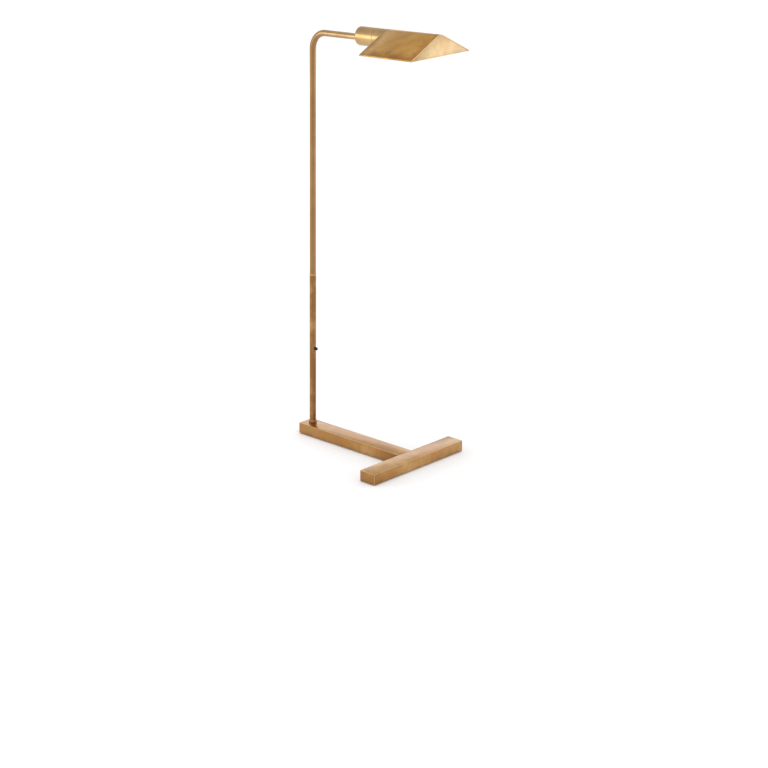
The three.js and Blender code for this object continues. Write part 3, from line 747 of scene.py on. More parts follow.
# ------------------------------------------------------------------ base
@dataclass
class TeeBase(Assembly):
    """The leg and the crossbar, with their screws, pads and lead grommet."""

    edge: float = 0.7 * MM
    tongue_length: float = 38 * MM
    tongue_width: float = 36 * MM
    tongue_height: float = 14 * MM
    joint_gap: float = 0.3 * MM
    pocket_radius: float = 12 * MM
    pocket_depth: float = 20 * MM
    stud_hole: float = 5.1 * MM
    screw_radius: float = 4 * MM
    screw_head: float = 7.5 * MM
    screw_length: float = 22 * MM
    screw_recess: float = 1 * MM
    hex_socket: float = 2.9 * MM
    lead_hole: float = 3.6 * MM
    lead_height: float = 8 * MM
    hidden_end: float = 60 * MM  # past the crossbar's face, so that no edge is drawn there
    painted_shade_reach: float = 130 * MM  # of the painted shade on the leg's sides beside the crossbar
    top_margin: float = 0.8 * MM  # below the bars' tops, which are left without the painted shade

    def build(self) -> None:
        """Builds the whole base."""
        self.leg()
        self.crossbar()
        self.screws()
        self.pads()
        self.grommet()

    def screw_places(self) -> list[Vector]:
        """Centres of the base screws."""
        return [Vector((*middle(f"base_screw_{index}")[:2], 0.0)) for index in (1, 2)]

    def screw_profile(self, gap: float) -> list[Point2]:
        """Profile of a countersunk screw, grown by a gap where it is the hole."""
        foot = self.layout.floor_gap + self.screw_recess
        low = foot if not gap else 0.0
        cone = self.screw_head - self.screw_radius
        top = foot + self.screw_length + gap
        return [
            (0.0, low),
            (self.screw_head + gap, low),
            (self.screw_head + gap, foot + 0.3 * MM),
            (self.screw_radius + gap, foot + cone),
            (self.screw_radius + gap, top),
            (0.0, top),
        ]

    def screw_holes(self) -> list[bpy.types.Object]:
        """Cutters for the two base screws."""
        return [
            Bench.lay(
                Bench.turned("screw_cutter", self.screw_profile(self.joint_gap), SMALL),
                Matrix.Translation(place),
            )
            for place in self.screw_places()
        ]

    def leg(self) -> None:
        """The leg, with its tongue, the pole's pocket and the holes."""
        low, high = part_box("base_leg")
        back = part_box("base_crossbar")[0].x
        piece = Bench.block("leg_bar", low, (back, high.y, high.z))
        Bench.ease(piece, self.edge, 3)
        half = self.tongue_width / 2
        floor = self.layout.floor_gap
        tongue_low = (back - 20 * MM, -half, floor)
        tongue_high = (back + self.tongue_length, half, floor + self.tongue_height)
        Bench.cut(piece, Bench.block("tongue", tongue_low, tongue_high), operation="UNION")
        pocket_top = floor + self.pocket_depth
        pocket = Bench.rod("pocket", self.pocket_radius, floor - MM, pocket_top, PLAIN)
        hole = Bench.rod("hole", self.stud_hole, floor, high.z + MM, PLAIN)
        lead = Bench.rod("lead_bore", self.lead_hole, -40 * MM, 0.0)
        upright = self.layout.upright
        cutters = [Bench.lay(pocket, upright()), Bench.lay(hole, upright())]
        cutters.append(Bench.lay(lead, upright(z=self.lead_height) @ TO_X))
        Bench.cut(piece, *cutters, *self.screw_holes())
        Bench.smooth(piece)
        edges = BlockEdges.between(low, (back + self.hidden_end, high.y, high.z))
        # painted shade: the leg's sides darken towards the crossbar, and the top is left light
        painted_shade_beside_joint = Fading(0, back, back - self.painted_shade_reach, 0.95, high.z - self.top_margin)
        look = self.finish("leg_finish", Grain.CROSS_X, edges, dark=painted_shade_beside_joint)
        self.fit(piece, "base", "base_brass", look, "base_leg")

    @staticmethod
    def finish(name: str, grain: Grain, edges: Mask, **changes: Any) -> bpy.types.Material:
        """Brass of the bars, ground across their length."""
        colours = {"body": (0.42, 0.205, 0.05), "streaks": 0.3}
        stain = {"stain": 0.32, "stain_reach": 7 * MM}
        return AgedBrass(name, grain, edges=edges, **colours, **stain, **changes).make()

    def crossbar(self) -> None:
        """The crossbar, with the pocket for the leg's tongue."""
        low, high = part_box("base_crossbar")
        piece = Bench.block("cross_bar", low, high)
        Bench.ease(piece, self.edge, 3)
        gap, floor = self.joint_gap, self.layout.floor_gap
        half = self.tongue_width / 2 + gap
        pocket_low = (low.x - MM, -half, floor - MM)
        pocket_high = (low.x + self.tongue_length + gap, half, floor + self.tongue_height + gap)
        Bench.cut(piece, Bench.block("tongue_pocket", pocket_low, pocket_high), *self.screw_holes())
        Bench.smooth(piece)
        edges = BlockEdges.between(low, high)
        # painted shade: the crossbar's sides darken towards its -Y end, and the top is left light
        painted_shade_near_end = Fading(1, low.y, 0.0, 0.35, high.z - self.top_margin)
        changes = {"shift": (0.3, 0.1, 0.2), "dark": painted_shade_near_end}
        look = self.finish("crossbar_finish", Grain.CROSS_Y, edges, **changes)
        self.fit(piece, "base", "base_brass", look, "base_crossbar")

    def screws(self) -> None:
        """The two countersunk screws, with hexagon sockets."""
        look = PlatedSteel().make()
        foot = self.layout.floor_gap + self.screw_recess
        for index, place in enumerate(self.screw_places(), 1):
            piece = Bench.turned(f"base_bolt_{index}", self.screw_profile(0.0), SMALL)
            Bench.ease(piece, 0.2 * MM)
            Bench.cut(piece, Bench.rod("socket", self.hex_socket, foot - MM, foot + 4 * MM, 6))
            Bench.install(piece, Matrix.Translation(place))
            self.fit(piece, "base", "plated_steel", look, f"base_screw_{index}")

    def pads(self) -> None:
        """The four rubber pads."""
        look = Moulded("rubber_finish", (0.022, 0.021, 0.02), 0.75, 40e-6, 900.0).make()
        radius, chamfer, height = 9 * MM, 0.5 * MM, self.layout.floor_gap
        foot = [(0.0, 0.0), (radius - chamfer, 0.0), (radius, chamfer)]
        profile = [*foot, (radius, height), (0.0, height)]
        for index in range(1, 5):
            x, y, _ = middle(f"foot_pad_{index}")
            piece = Bench.turned(f"floor_pad_{index}", profile, PLAIN)
            Bench.ease(piece, 0.2 * MM)
            Bench.install(piece, moved(x, y))
            self.fit(piece, "base", "rubber", look, f"foot_pad_{index}")

    def grommet(self) -> None:
        """The ribbed rubber grommet that the mains lead comes in through."""
        low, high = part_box("cord_gland")
        flange, neck, bore = 5.5 * MM, 3.5 * MM, 2.3 * MM
        face, end = low.x - self.layout.pole_x, high.x - self.layout.pole_x
        shoulder = face + 1.5 * MM
        profile = [
            (bore, face + 0.3 * MM),
            (bore + 0.3 * MM, face),
            (flange - 0.5 * MM, face),
            (flange, face + 0.5 * MM),
            (flange, shoulder),
            (neck, shoulder),
            (neck, end),
            (bore, end),
        ]
        piece = Bench.turned("lead_grommet", profile, PLAIN)
        Bench.ease(piece, 0.15 * MM)
        Bench.install(piece, self.layout.upright(z=self.lead_height) @ TO_X)
        look = Moulded("grommet_finish", (0.026, 0.024, 0.022), 0.6, 30e-6, 1100.0).make()
        self.fit(piece, "base", "rubber", look, "cord_gland")


# ------------------------------------------------------------------ pole
@dataclass
class Pole(Assembly):
    """The outer tube with its ferrule and bead, and the fixings in the leg."""

    tube_radius: float = POLE_RADIUS
    tube_wall: float = 0.45 * MM
    ferrule_thickness: float = 1.85 * MM
    ferrule_height: float = 12 * MM
    bead_radius: float = 9.55 * MM

    def build(self) -> None:
        """Builds the pole."""
        self.tube()
        self.ferrule()
        self.bead()
        steel = PlatedSteel("fixing_finish").make()
        self.dress(steel, "pole_plug", "pole_stud", "pole_washer")
        self.nut(steel)

    def finish(self, name: str, **changes: Any) -> bpy.types.Material:
        """Brass of the pole, with its grain about the pole's own axis."""
        frame_of_pole = Frame((self.layout.pole_x, 0.0, 0.0))
        settings = {"grain": Grain.ALONG_Z, "frame": frame_of_pole, **changes}
        return AgedBrass(name, **settings).make()

    def tube(self) -> None:
        """The outer tube, with the hole for the height lock."""
        low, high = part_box("outer_tube")
        outer, inner = self.tube_radius, self.tube_radius - self.tube_wall
        profile = [(inner, low.z), (outer, low.z), (outer, high.z), (inner, high.z)]
        piece = Bench.turned("lower_tube", profile, PLAIN)
        hole = Bench.rod("lock_hole", LOCK_HOLE, 0.0, 20 * MM)
        Bench.cut(piece, Bench.lay(hole, moved(z=middle("lock_boss")[2]) @ TO_X))
        Bench.install(piece, self.layout.upright())
        # painted shade: the upright outer tube gets a darker body than the arm's brass
        look = self.finish("outer_tube_finish", body=(0.265, 0.115, 0.028))
        self.fit(piece, "base", "antique_brass", look, "outer_tube")

    def ferrule(self) -> None:
        """The stepped ring that the pole stands in."""
        foot = self.layout.bar_top
        radius = self.tube_radius + self.ferrule_thickness
        bore = self.tube_radius + 0.1 * MM
        profile = [
            (bore, foot),
            (radius, foot),
            *arc((radius - 0.5 * MM, foot + 6 * MM), 0.5 * MM, 0, 60, 3),
            (radius - 0.9 * MM, foot + 6.9 * MM),
            *arc((radius - 2.6 * MM, foot + 8.2 * MM), 1.9 * MM, 8, 70, 8),
            (bore, foot + self.ferrule_height),
        ]
        piece = Bench.turned("pole_foot_ring", profile, FINE)
        Bench.ease(piece, 0.15 * MM)
        Bench.install(piece, self.layout.upright())
        changes = {"body": (0.25, 0.10, 0.024), "roughness": 0.3, "shift": (0.0, 0.2, 0.0)}
        look = self.finish("ferrule_finish", grain=Grain.ROUND_Z, **changes)
        self.fit(piece, "base", "dark_brass", look, "pole_ferrule")

    def bead(self) -> None:
        """The rounded bead that closes the outer tube's top."""
        low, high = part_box("tube_collar")
        bore, centre = self.tube_radius - self.tube_wall, (low.z + high.z) / 2
        bulge = 1.5 * MM
        profile = [
            (bore, low.z),
            (self.tube_radius, low.z),
            *arc((self.bead_radius - bulge, centre), bulge, -55, 55, 8),
            (self.tube_radius, high.z),
            (bore, high.z),
        ]
        profile = [(r, min(max(z, low.z), high.z)) for r, z in profile]
        piece = Bench.turned("tube_bead", profile, FINE)
        Bench.install(piece, self.layout.upright(), 40)
        look = self.finish("bead_finish", grain=Grain.ROUND_Z, roughness=0.3)
        self.fit(piece, "base", "antique_brass", look, "tube_collar")

    def nut(self, look: bpy.types.Material) -> None:
        """The chamfered hexagon nut under the pole."""
        low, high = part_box("pole_nut")
        across, stud_hole = 17 * MM, 5.1 * MM
        piece = Bench.rod("stud_nut", across / math.sqrt(3), low.z, high.z, 6)
        half, below = across / 2, low.z - 2 * MM
        cone = [(half, below), (across, below), (across, low.z + 3 * MM), (half, low.z)]
        Bench.cut(piece, Bench.turned("chamfer", cone, PLAIN))
        Bench.cut(piece, Bench.rod("nut_bore", stud_hole, low.z - MM, high.z + MM))
        Bench.install(piece, self.layout.upright())
        self.fit(piece, "base", "plated_steel", look, "pole_nut")


# ------------------------------------------------------------------ height lock
@dataclass
class HeightLock(Assembly):
    """The screw that holds the upper tube at its height, and its bushing."""

    knob_radius: float = 4.2 * MM
    knob_length: float = 4.2 * MM
    flutes: int = 20
    flute_radius: float = 0.42 * MM
    thread_radius: float = 2.3 * MM
    thread_pitch: float = 0.7 * MM
    bushing_radius: float = 4.6 * MM
    bushing_end: float = 10.9 * MM  # from the pole's axis

    def build(self) -> None:
        """Builds the bushing and the fluted knob."""
        low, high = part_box("lock_screw")
        placing = self.layout.upright(z=middle("lock_screw")[2]) @ TO_X
        self.bushing(placing)
        self.knob(placing, low.x - self.layout.pole_x, high.x - self.layout.pole_x)

    def finish(self, name: str) -> bpy.types.Material:
        """Blackened steel, turned about the screw's own axis."""
        place = Frame((0.0, 0.0, middle("lock_screw")[2]))
        colours = {
            "body": (0.030, 0.025, 0.021),
            "pale": (0.075, 0.062, 0.05),
            "brown": (0.012, 0.009, 0.007),
        }
        return AgedBrass(name, Grain.ROUND_X, place, **colours, roughness=0.42, coat=0.1).make()

    def bushing(self, placing: Matrix) -> None:
        """The bushing on the outer tube's side."""
        end, hole, radius = self.bushing_end, LOCK_HOLE, self.bushing_radius
        profile = [(hole, 0.0), (radius, 0.0), (radius, end), (hole, end)]
        piece = Bench.turned("lock_bushing", profile, PLAIN)
        Bench.ease(piece, 0.4 * MM, 3)
        Bench.lay(piece, placing)
        side = Bench.rod("tube_side", POLE_RADIUS + 0.3 * MM, -20 * MM, 20 * MM, FINE)
        Bench.cut(piece, Bench.lay(side, self.layout.upright(z=placing.translation.z)))
        Bench.smooth(piece)
        self.fit(piece, "base", "blackened_steel", self.finish("bushing_finish"), "lock_boss")

    def knob(self, placing: Matrix, start: float, end: float) -> None:
        """The lock screw with its fluted knob."""
        flange = end - self.knob_length
        knob = Bench.rod("lock_knob", self.knob_radius, flange, end, self.flutes * 4)
        Bench.ease(knob, 0.5 * MM, 2, 60)
        Bench.cut(knob, self.grooves(flange - MM, end + MM))
        rim = 2.4 * MM
        dimple = [(0.0, end - 0.35 * MM), (rim, end + 0.2 * MM), (rim, end + MM), (0.0, end + MM)]
        Bench.cut(knob, Bench.turned("dimple", dimple, SMALL))
        shank = Bench.turned("shank", self.shank_profile(start, flange), SMALL)
        Bench.cut(knob, shank, operation="UNION")
        Bench.install(knob, placing)
        self.fit(knob, "lock", "blackened_steel", self.finish("knob_finish"), "lock_screw")

    def grooves(self, low: float, high: float) -> bpy.types.Object:
        """One cutter for all of the knob's flutes."""
        groove = Bench.rod("groove", self.flute_radius, low, high, 12)
        outwards = moved(self.knob_radius + 0.12 * MM)
        cutters = []
        for index in range(self.flutes):
            turn = Matrix.Rotation(math.tau * index / self.flutes, 4, "Z")
            cutters.append(Bench.copy(groove, f"groove_{index}", turn @ outwards))
        bpy.data.objects.remove(groove, do_unlink=True)
        Bench.pick(cutters[0])
        for cutter in cutters:
            cutter.select_set(True)
        bpy.ops.object.join()
        return cutters[0]

    def shank_profile(self, start: float, flange: float) -> list[Point2]:
        """Outline of the threaded shank, from its tip into the knob."""
        thread, pitch = self.thread_radius, self.thread_pitch
        root = thread - 0.3 * MM
        outline = [(0.0, start), (thread - 0.5 * MM, start)]
        for index in range(int((flange - start) / pitch)):
            foot = start + pitch * index
            outline += [(root, foot + 0.1 * MM), (thread, foot + 0.4 * MM)]
        return [*outline, (root, flange), (root, flange + MM), (0.0, flange + MM)]


# ------------------------------------------------------------------ riser and arm
@dataclass
class ArmTube(Assembly):
    """The one bent tube that is the pole's upper part and the arm."""

    radius: float = 8.55 * MM
    wall: float = 1.2 * MM
    bend: float = 47 * MM
    arm_length: float = 170.7 * MM  # from the pole's axis to the tube's end
    foot: float = 217 * MM
    sides: int = PLAIN
    bend_steps: int = 40
    lead: float = 25 * MM  # between rings along the straight parts

    def build(self) -> None:
        """Builds the tube and dresses what is inside it."""
        self.tube()
        lead = Moulded("lead_finish", (0.10, 0.055, 0.022), 0.5, 30e-6, 900.0)
        self.dress(lead.make(), "lead_upper", "lead_lower")
        self.dress(PlatedSteel("plug_finish").make(), "arm_plug", "arm_nipple")
        nylon = Moulded("nylon_finish", (0.78, 0.75, 0.66), 0.5)
        self.dress(nylon.make(), "riser_guide", "friction_sleeve")

    def tube(self) -> None:
        """A circle extruded up, spun round the bend, extruded along the arm and given its wall."""
        arm = self.layout.arm
        turn = math.pi / 2 - arm.tilt
        tangent = self.bend * math.tan(turn / 2)
        bend_start = arm.origin[2] - tangent
        Bench.clear()
        foot = (self.layout.pole_x, 0.0, self.foot)
        bpy.ops.mesh.primitive_circle_add(vertices=self.sides, radius=self.radius, location=foot)
        piece = Bench.named("bent_tube")
        Bench.settle(piece)
        centre = (self.layout.pole_x + self.bend, 0.0, bend_start)
        direction = Vector((math.cos(arm.tilt), 0.0, math.sin(arm.tilt)))
        with Bench.editing(piece):
            bpy.ops.mesh.select_mode(type="EDGE")
            bpy.ops.mesh.select_all(action="SELECT")
            self.push(Vector((0, 0, 1)), bend_start - self.foot)
            spin = {"steps": self.bend_steps, "angle": turn, "center": centre, "axis": (0, -1, 0)}
            bpy.ops.mesh.spin(**spin)
            self.push(direction, self.arm_length - tangent)
            Bench.close()
        self.face_outwards(piece)
        Bench.apply(piece, "SOLIDIFY", thickness=self.wall, offset=-1.0)
        self.mark_place(piece, bend_start, centre, turn, tangent, direction)
        Bench.smooth(piece, 50)
        look = AgedBrass(
            "arm_tube_finish",
            Grain.ALONG_Z,
            Frame(attribute="tube_place"),
            body=(0.44, 0.285, 0.125),
            brown=(0.22, 0.085, 0.014),
            roughness=0.31,
            shift=(0.2, 0.4, 0.1),
            # painted shade: the tube's upright part, below the bend, is painted darker than the arm
            dark=Fading(2, bend_start - 20 * MM, bend_start + 120 * MM, 0.62),
        )
        self.fit(piece, "arm", "antique_brass", look.make(), "riser_tube")

    def push(self, direction: Vector, length: float) -> None:
        """Extrudes the selected ring along a straight part, a ring at a time."""
        rings = max(1, round(length / self.lead))
        for _ in range(rings):
            step = direction * (length / rings)
            bpy.ops.mesh.extrude_region_move(TRANSFORM_OT_translate={"value": step})

    def face_outwards(self, piece: bpy.types.Object) -> None:
        """Turns the open tube's faces away from its axis if they look inwards."""
        face = min(piece.data.polygons, key=lambda polygon: polygon.center.z)
        from_axis = Vector((face.center.x - self.layout.pole_x, face.center.y, 0.0))
        if face.normal.dot(from_axis) < 0:
            with Bench.editing(piece):
                bpy.ops.mesh.select_all(action="SELECT")
                bpy.ops.mesh.flip_normals()

    def mark_place(
        self,
        piece: bpy.types.Object,
        bend_start: float,
        centre: Sequence[float],
        turn: float,
        tangent: float,
        direction: Vector,
    ) -> None:
        """Stores each vertex's place on the tube as if the tube were straight.

        Args:
            piece: The tube.
            bend_start: Height where the bend starts.
            centre: The bend's centre.
            turn: The bend's angle.
            tangent: From the crossing of the axes to either end of the bend.
            direction: The arm's direction.
        """
        places = piece.data.attributes.new("tube_place", "FLOAT_VECTOR", "POINT")
        crossing = Vector(self.layout.arm.origin)
        for vertex in piece.data.vertices:
            spot = vertex.co
            angle = math.atan2(spot.z - centre[2], centre[0] - spot.x)
            if spot.z <= bend_start:
                out, run = spot.x - self.layout.pole_x, spot.z
            elif angle < turn:
                from_centre = math.hypot(spot.x - centre[0], spot.z - centre[2])
                out, run = self.bend - from_centre, bend_start + self.bend * angle
            else:
                offset = spot - crossing
                along = offset.dot(direction)
                upward = offset.dot(Vector((-direction.z, 0.0, direction.x)))
                out, run = -upward, bend_start + self.bend * turn + along - tangent
            places.data[vertex.index].vector = (out, spot.y, run)


# ------------------------------------------------------------------ socket cup
def cup_brass(name: str, axes: Frame, body: Colour) -> bpy.types.Material:
    """Brass of the cup and the collar, polished round the arm, with painted shade along the top."""
    # painted shade: a darker band along the top of the cup and the collar
    top = Fading(2, 22 * MM, 8 * MM, 0.32)
    settings = {"roughness": 0.36, "coat": 0.3, "dark": top}
    return AgedBrass(name, Grain.ROUND_X, axes, body=body, **settings).make()


@dataclass
class SocketCup(Assembly):
    """The cup at the arm's end, with the holder and the bulb in it."""

    start: float = 171 * MM
    length: float = 60 * MM
    radius: float = CUP_RADIUS
    wall: float = 1.2 * MM
    floor: float = 3 * MM
    fillet: float = 4 * MM
    edge: float = 0.25 * MM
    stud_hole: float = 5.3 * MM
    nipple_end: float = 189.3 * MM  # of the hole that the holder has for it
    stop_inset: float = 9.5 * MM  # from the cup's mouth to the stop screw
    holder_start: float = 180.9 * MM
    holder_length: float = 49 * MM
    holder_floor: float = 11 * MM
    holder_radius: float = 19 * MM
    holder_bore: float = 14.6 * MM
    bulb_start: float = 194.4 * MM
    bulb_length: float = 142 * MM
    bulb_radius: float = 15 * MM
    cap_radius: float = 13 * MM
    cap_length: float = 27 * MM
    glass_wall: float = 0.9 * MM

    def build(self) -> None:
        """Builds the cup and what it holds."""
        self.cup()
        self.stop_screw()
        self.holder()
        self.bulb()
        steel = PlatedSteel("cup_fixing_finish").make()
        self.dress(steel, "cup_washer", "cup_nut")
        changes = {"body": (0.78, 0.58, 0.26), "pale": (0.86, 0.70, 0.38), "roughness": 0.25}
        pressed = AgedBrass("pressed_brass_finish", Grain.ROUND_X, self.layout.head, **changes)
        nodes = ("shell", "contact", "terminal_1", "terminal_2")
        self.dress(pressed.make(), *(f"holder_{node}" for node in nodes))

    def cup(self) -> None:
        """The cup, with its round shoulder and the stop screw's hole."""
        end, bore = self.start + self.length, self.radius - self.wall
        corner = arc((self.radius - self.fillet, self.start + self.fillet), self.fillet, -90, 0, 10)
        inner = self.fillet - self.wall
        inside = arc((bore - inner, self.start + self.floor + inner), inner, 0, -90, 6)
        profile = [(0.0, self.start), *corner]
        profile += [(self.radius, self.start + share * self.length) for share in (0.3, 0.6)]
        profile += [(self.radius, end - self.edge), (self.radius - self.edge, end), (bore, end)]
        profile += [*inside, (0.0, self.start + self.floor)]
        piece = Bench.turned("cup_shell", profile, FINE)
        nipple_hole = self.nipple_hole(self.start - MM, self.start + self.floor + MM)
        Bench.cut(piece, self.stop_hole(2.3 * MM), nipple_hole)
        Bench.install(piece, self.layout.along_cup())
        look = cup_brass("cup_finish", self.layout.head, (0.43, 0.28, 0.118))
        self.fit(piece, "arm", "antique_brass", look, "socket_cup")

    def nipple_hole(self, low: float, high: float) -> bpy.types.Object:
        """A cutter for the arm's nipple, in the axes that the cup is turned in."""
        hole = Bench.rod("nipple_hole", self.stud_hole, low, high, PLAIN)
        return Bench.lay(hole, moved(self.layout.cup_rise))

    def stop_place(self) -> float:
        """How far along the arm the stop screw is."""
        return self.start + self.length - self.stop_inset

    def stop_hole(self, radius: float) -> bpy.types.Object:
        """A cutter for the stop screw's hole, in the axes that the cup is turned in."""
        hole = Bench.rod("stop_hole", radius, 18 * MM, 30 * MM)
        return Bench.lay(hole, moved(z=self.stop_place()) @ TO_X)

    def stop_screw(self) -> None:
        """The headless screw under the cup that limits the shade's turn."""
        radius, low, high = 2.0 * MM, 21.0 * MM, 24.6 * MM
        profile = [(0.0, low), (radius, low), (radius, high), (0.0, high)]
        piece = Bench.turned("cup_grub_screw", profile, SMALL)
        Bench.ease(piece, 0.25 * MM)
        Bench.cut(piece, Bench.rod("socket", 1.1 * MM, high - 1.5 * MM, high + MM, 6))
        down = moved(self.stop_place()) @ Matrix.Rotation(math.pi, 4, "Y")
        Bench.install(piece, self.layout.head.matrix() @ down)
        self.fit(piece, "arm", "plated_steel", PlatedSteel("grub_finish").make(), "stop_screw")

    def holder(self) -> None:
        """The glazed ceramic lampholder."""
        start, radius, socket = self.holder_start, self.holder_radius, self.holder_bore
        floor, end = start + self.holder_floor, start + self.holder_length
        waist = radius - 0.8 * MM
        profile = [
            (0.0, start),
            (radius - 2 * MM, start),
            (radius, start + 2 * MM),
            (radius, start + 14 * MM),
            (waist, start + 15 * MM),
            (waist, start + 18 * MM),
            (radius, start + 19 * MM),
            (radius, end - 1.5 * MM),
            (radius - 1.5 * MM, end),
            (socket + 0.6 * MM, end),
            (socket, end - 0.6 * MM),
            (socket, floor),
            (0.0, floor),
        ]
        piece = Bench.turned("ceramic_holder", profile, FINE)
        Bench.ease(piece, 0.3 * MM)
        Bench.cut(piece, self.nipple_hole(start - MM, self.nipple_end))
        for side in (-1, 1):
            hole = Bench.rod("terminal_hole", 1.3 * MM, start - MM, start + 5 * MM)
            Bench.cut(piece, Bench.lay(hole, moved(y=side * 14 * MM)))
        Bench.install(piece, self.layout.along_cup())
        look = Moulded("porcelain_finish", (0.80, 0.77, 0.70), 0.22, 6e-6, 300.0, 0.4)
        self.fit(piece, "arm", "porcelain", look.make(), "holder_body")

    def bulb(self) -> None:
        """The bulb's threaded cap and its frosted tubular glass."""
        tip, cap_end = self.bulb_start, self.bulb_start + self.cap_length
        piece = Bench.turned("lamp_cap", self.cap_profile(tip, cap_end), PLAIN)
        Bench.install(piece, self.layout.along_cup(), 40)
        look = PlatedSteel("cap_finish", (0.66, 0.65, 0.62)).make()
        self.fit(piece, "arm", "plated_steel", look, "bulb_cap")

        glass = self.glass_profile(cap_end, tip + self.bulb_length)
        piece = Bench.turned("lamp_glass", glass, FINE)
        Bench.install(piece, self.layout.along_cup(), 50)
        self.fit(piece, "arm", "bulb_glass", FrostedGlass().make(), "bulb_glass")
        self.dress(FrostedGlass("stem_finish", (0.85, 0.86, 0.84)).make(), "bulb_stem")

    def cap_profile(self, tip: float, end: float) -> list[Point2]:
        """Outline of the screw cap, with five turns of its rolled thread."""
        cap, crest = self.cap_radius, 1.2 * MM
        shell = [(0.0, tip), (4 * MM, tip), (4.5 * MM, tip + 2 * MM), (11 * MM, tip + 5 * MM)]
        for index in range(5):
            foot = tip + 7 * MM + 3.6 * MM * index
            shell.append((cap - 0.9 * MM, foot))
            shell += arc((cap - crest, foot + 1.8 * MM), crest, -50, 50, 4)
        shell += [(cap - 0.6 * MM, end), (12.2 * MM, end)]
        return [*shell, (11.6 * MM, tip + 8 * MM), (0.0, tip + 8 * MM)]

    def glass_profile(self, cap_end: float, front: float) -> list[Point2]:
        """Outline of the glass and of its inner face, from the neck in the cap to the dome."""
        radius, wall, neck = self.bulb_radius, self.glass_wall, 11.6 * MM
        start, shoulder = cap_end - 10 * MM, cap_end + 14 * MM
        flare, throat = neck + 1.2 * MM, radius - 0.7 * MM
        dome = arc((0.0, front - radius), radius, 0, 90, 16)
        inner = arc((0.0, front - radius), radius - wall, 90, 0, 16)
        glass = [(neck - wall, start), (neck, start), (neck, cap_end + MM)]
        glass += [(flare, cap_end + 4 * MM), (throat, shoulder - 4 * MM), (radius, shoulder)]
        glass += [*dome[:-1], (0.0, front), (0.0, front - wall), *inner[1:]]
        glass += [(radius - wall, shoulder), (throat - wall, shoulder - 4 * MM)]
        return [*glass, (flare - wall, cap_end + 4 * MM), (neck - wall, cap_end + MM)]


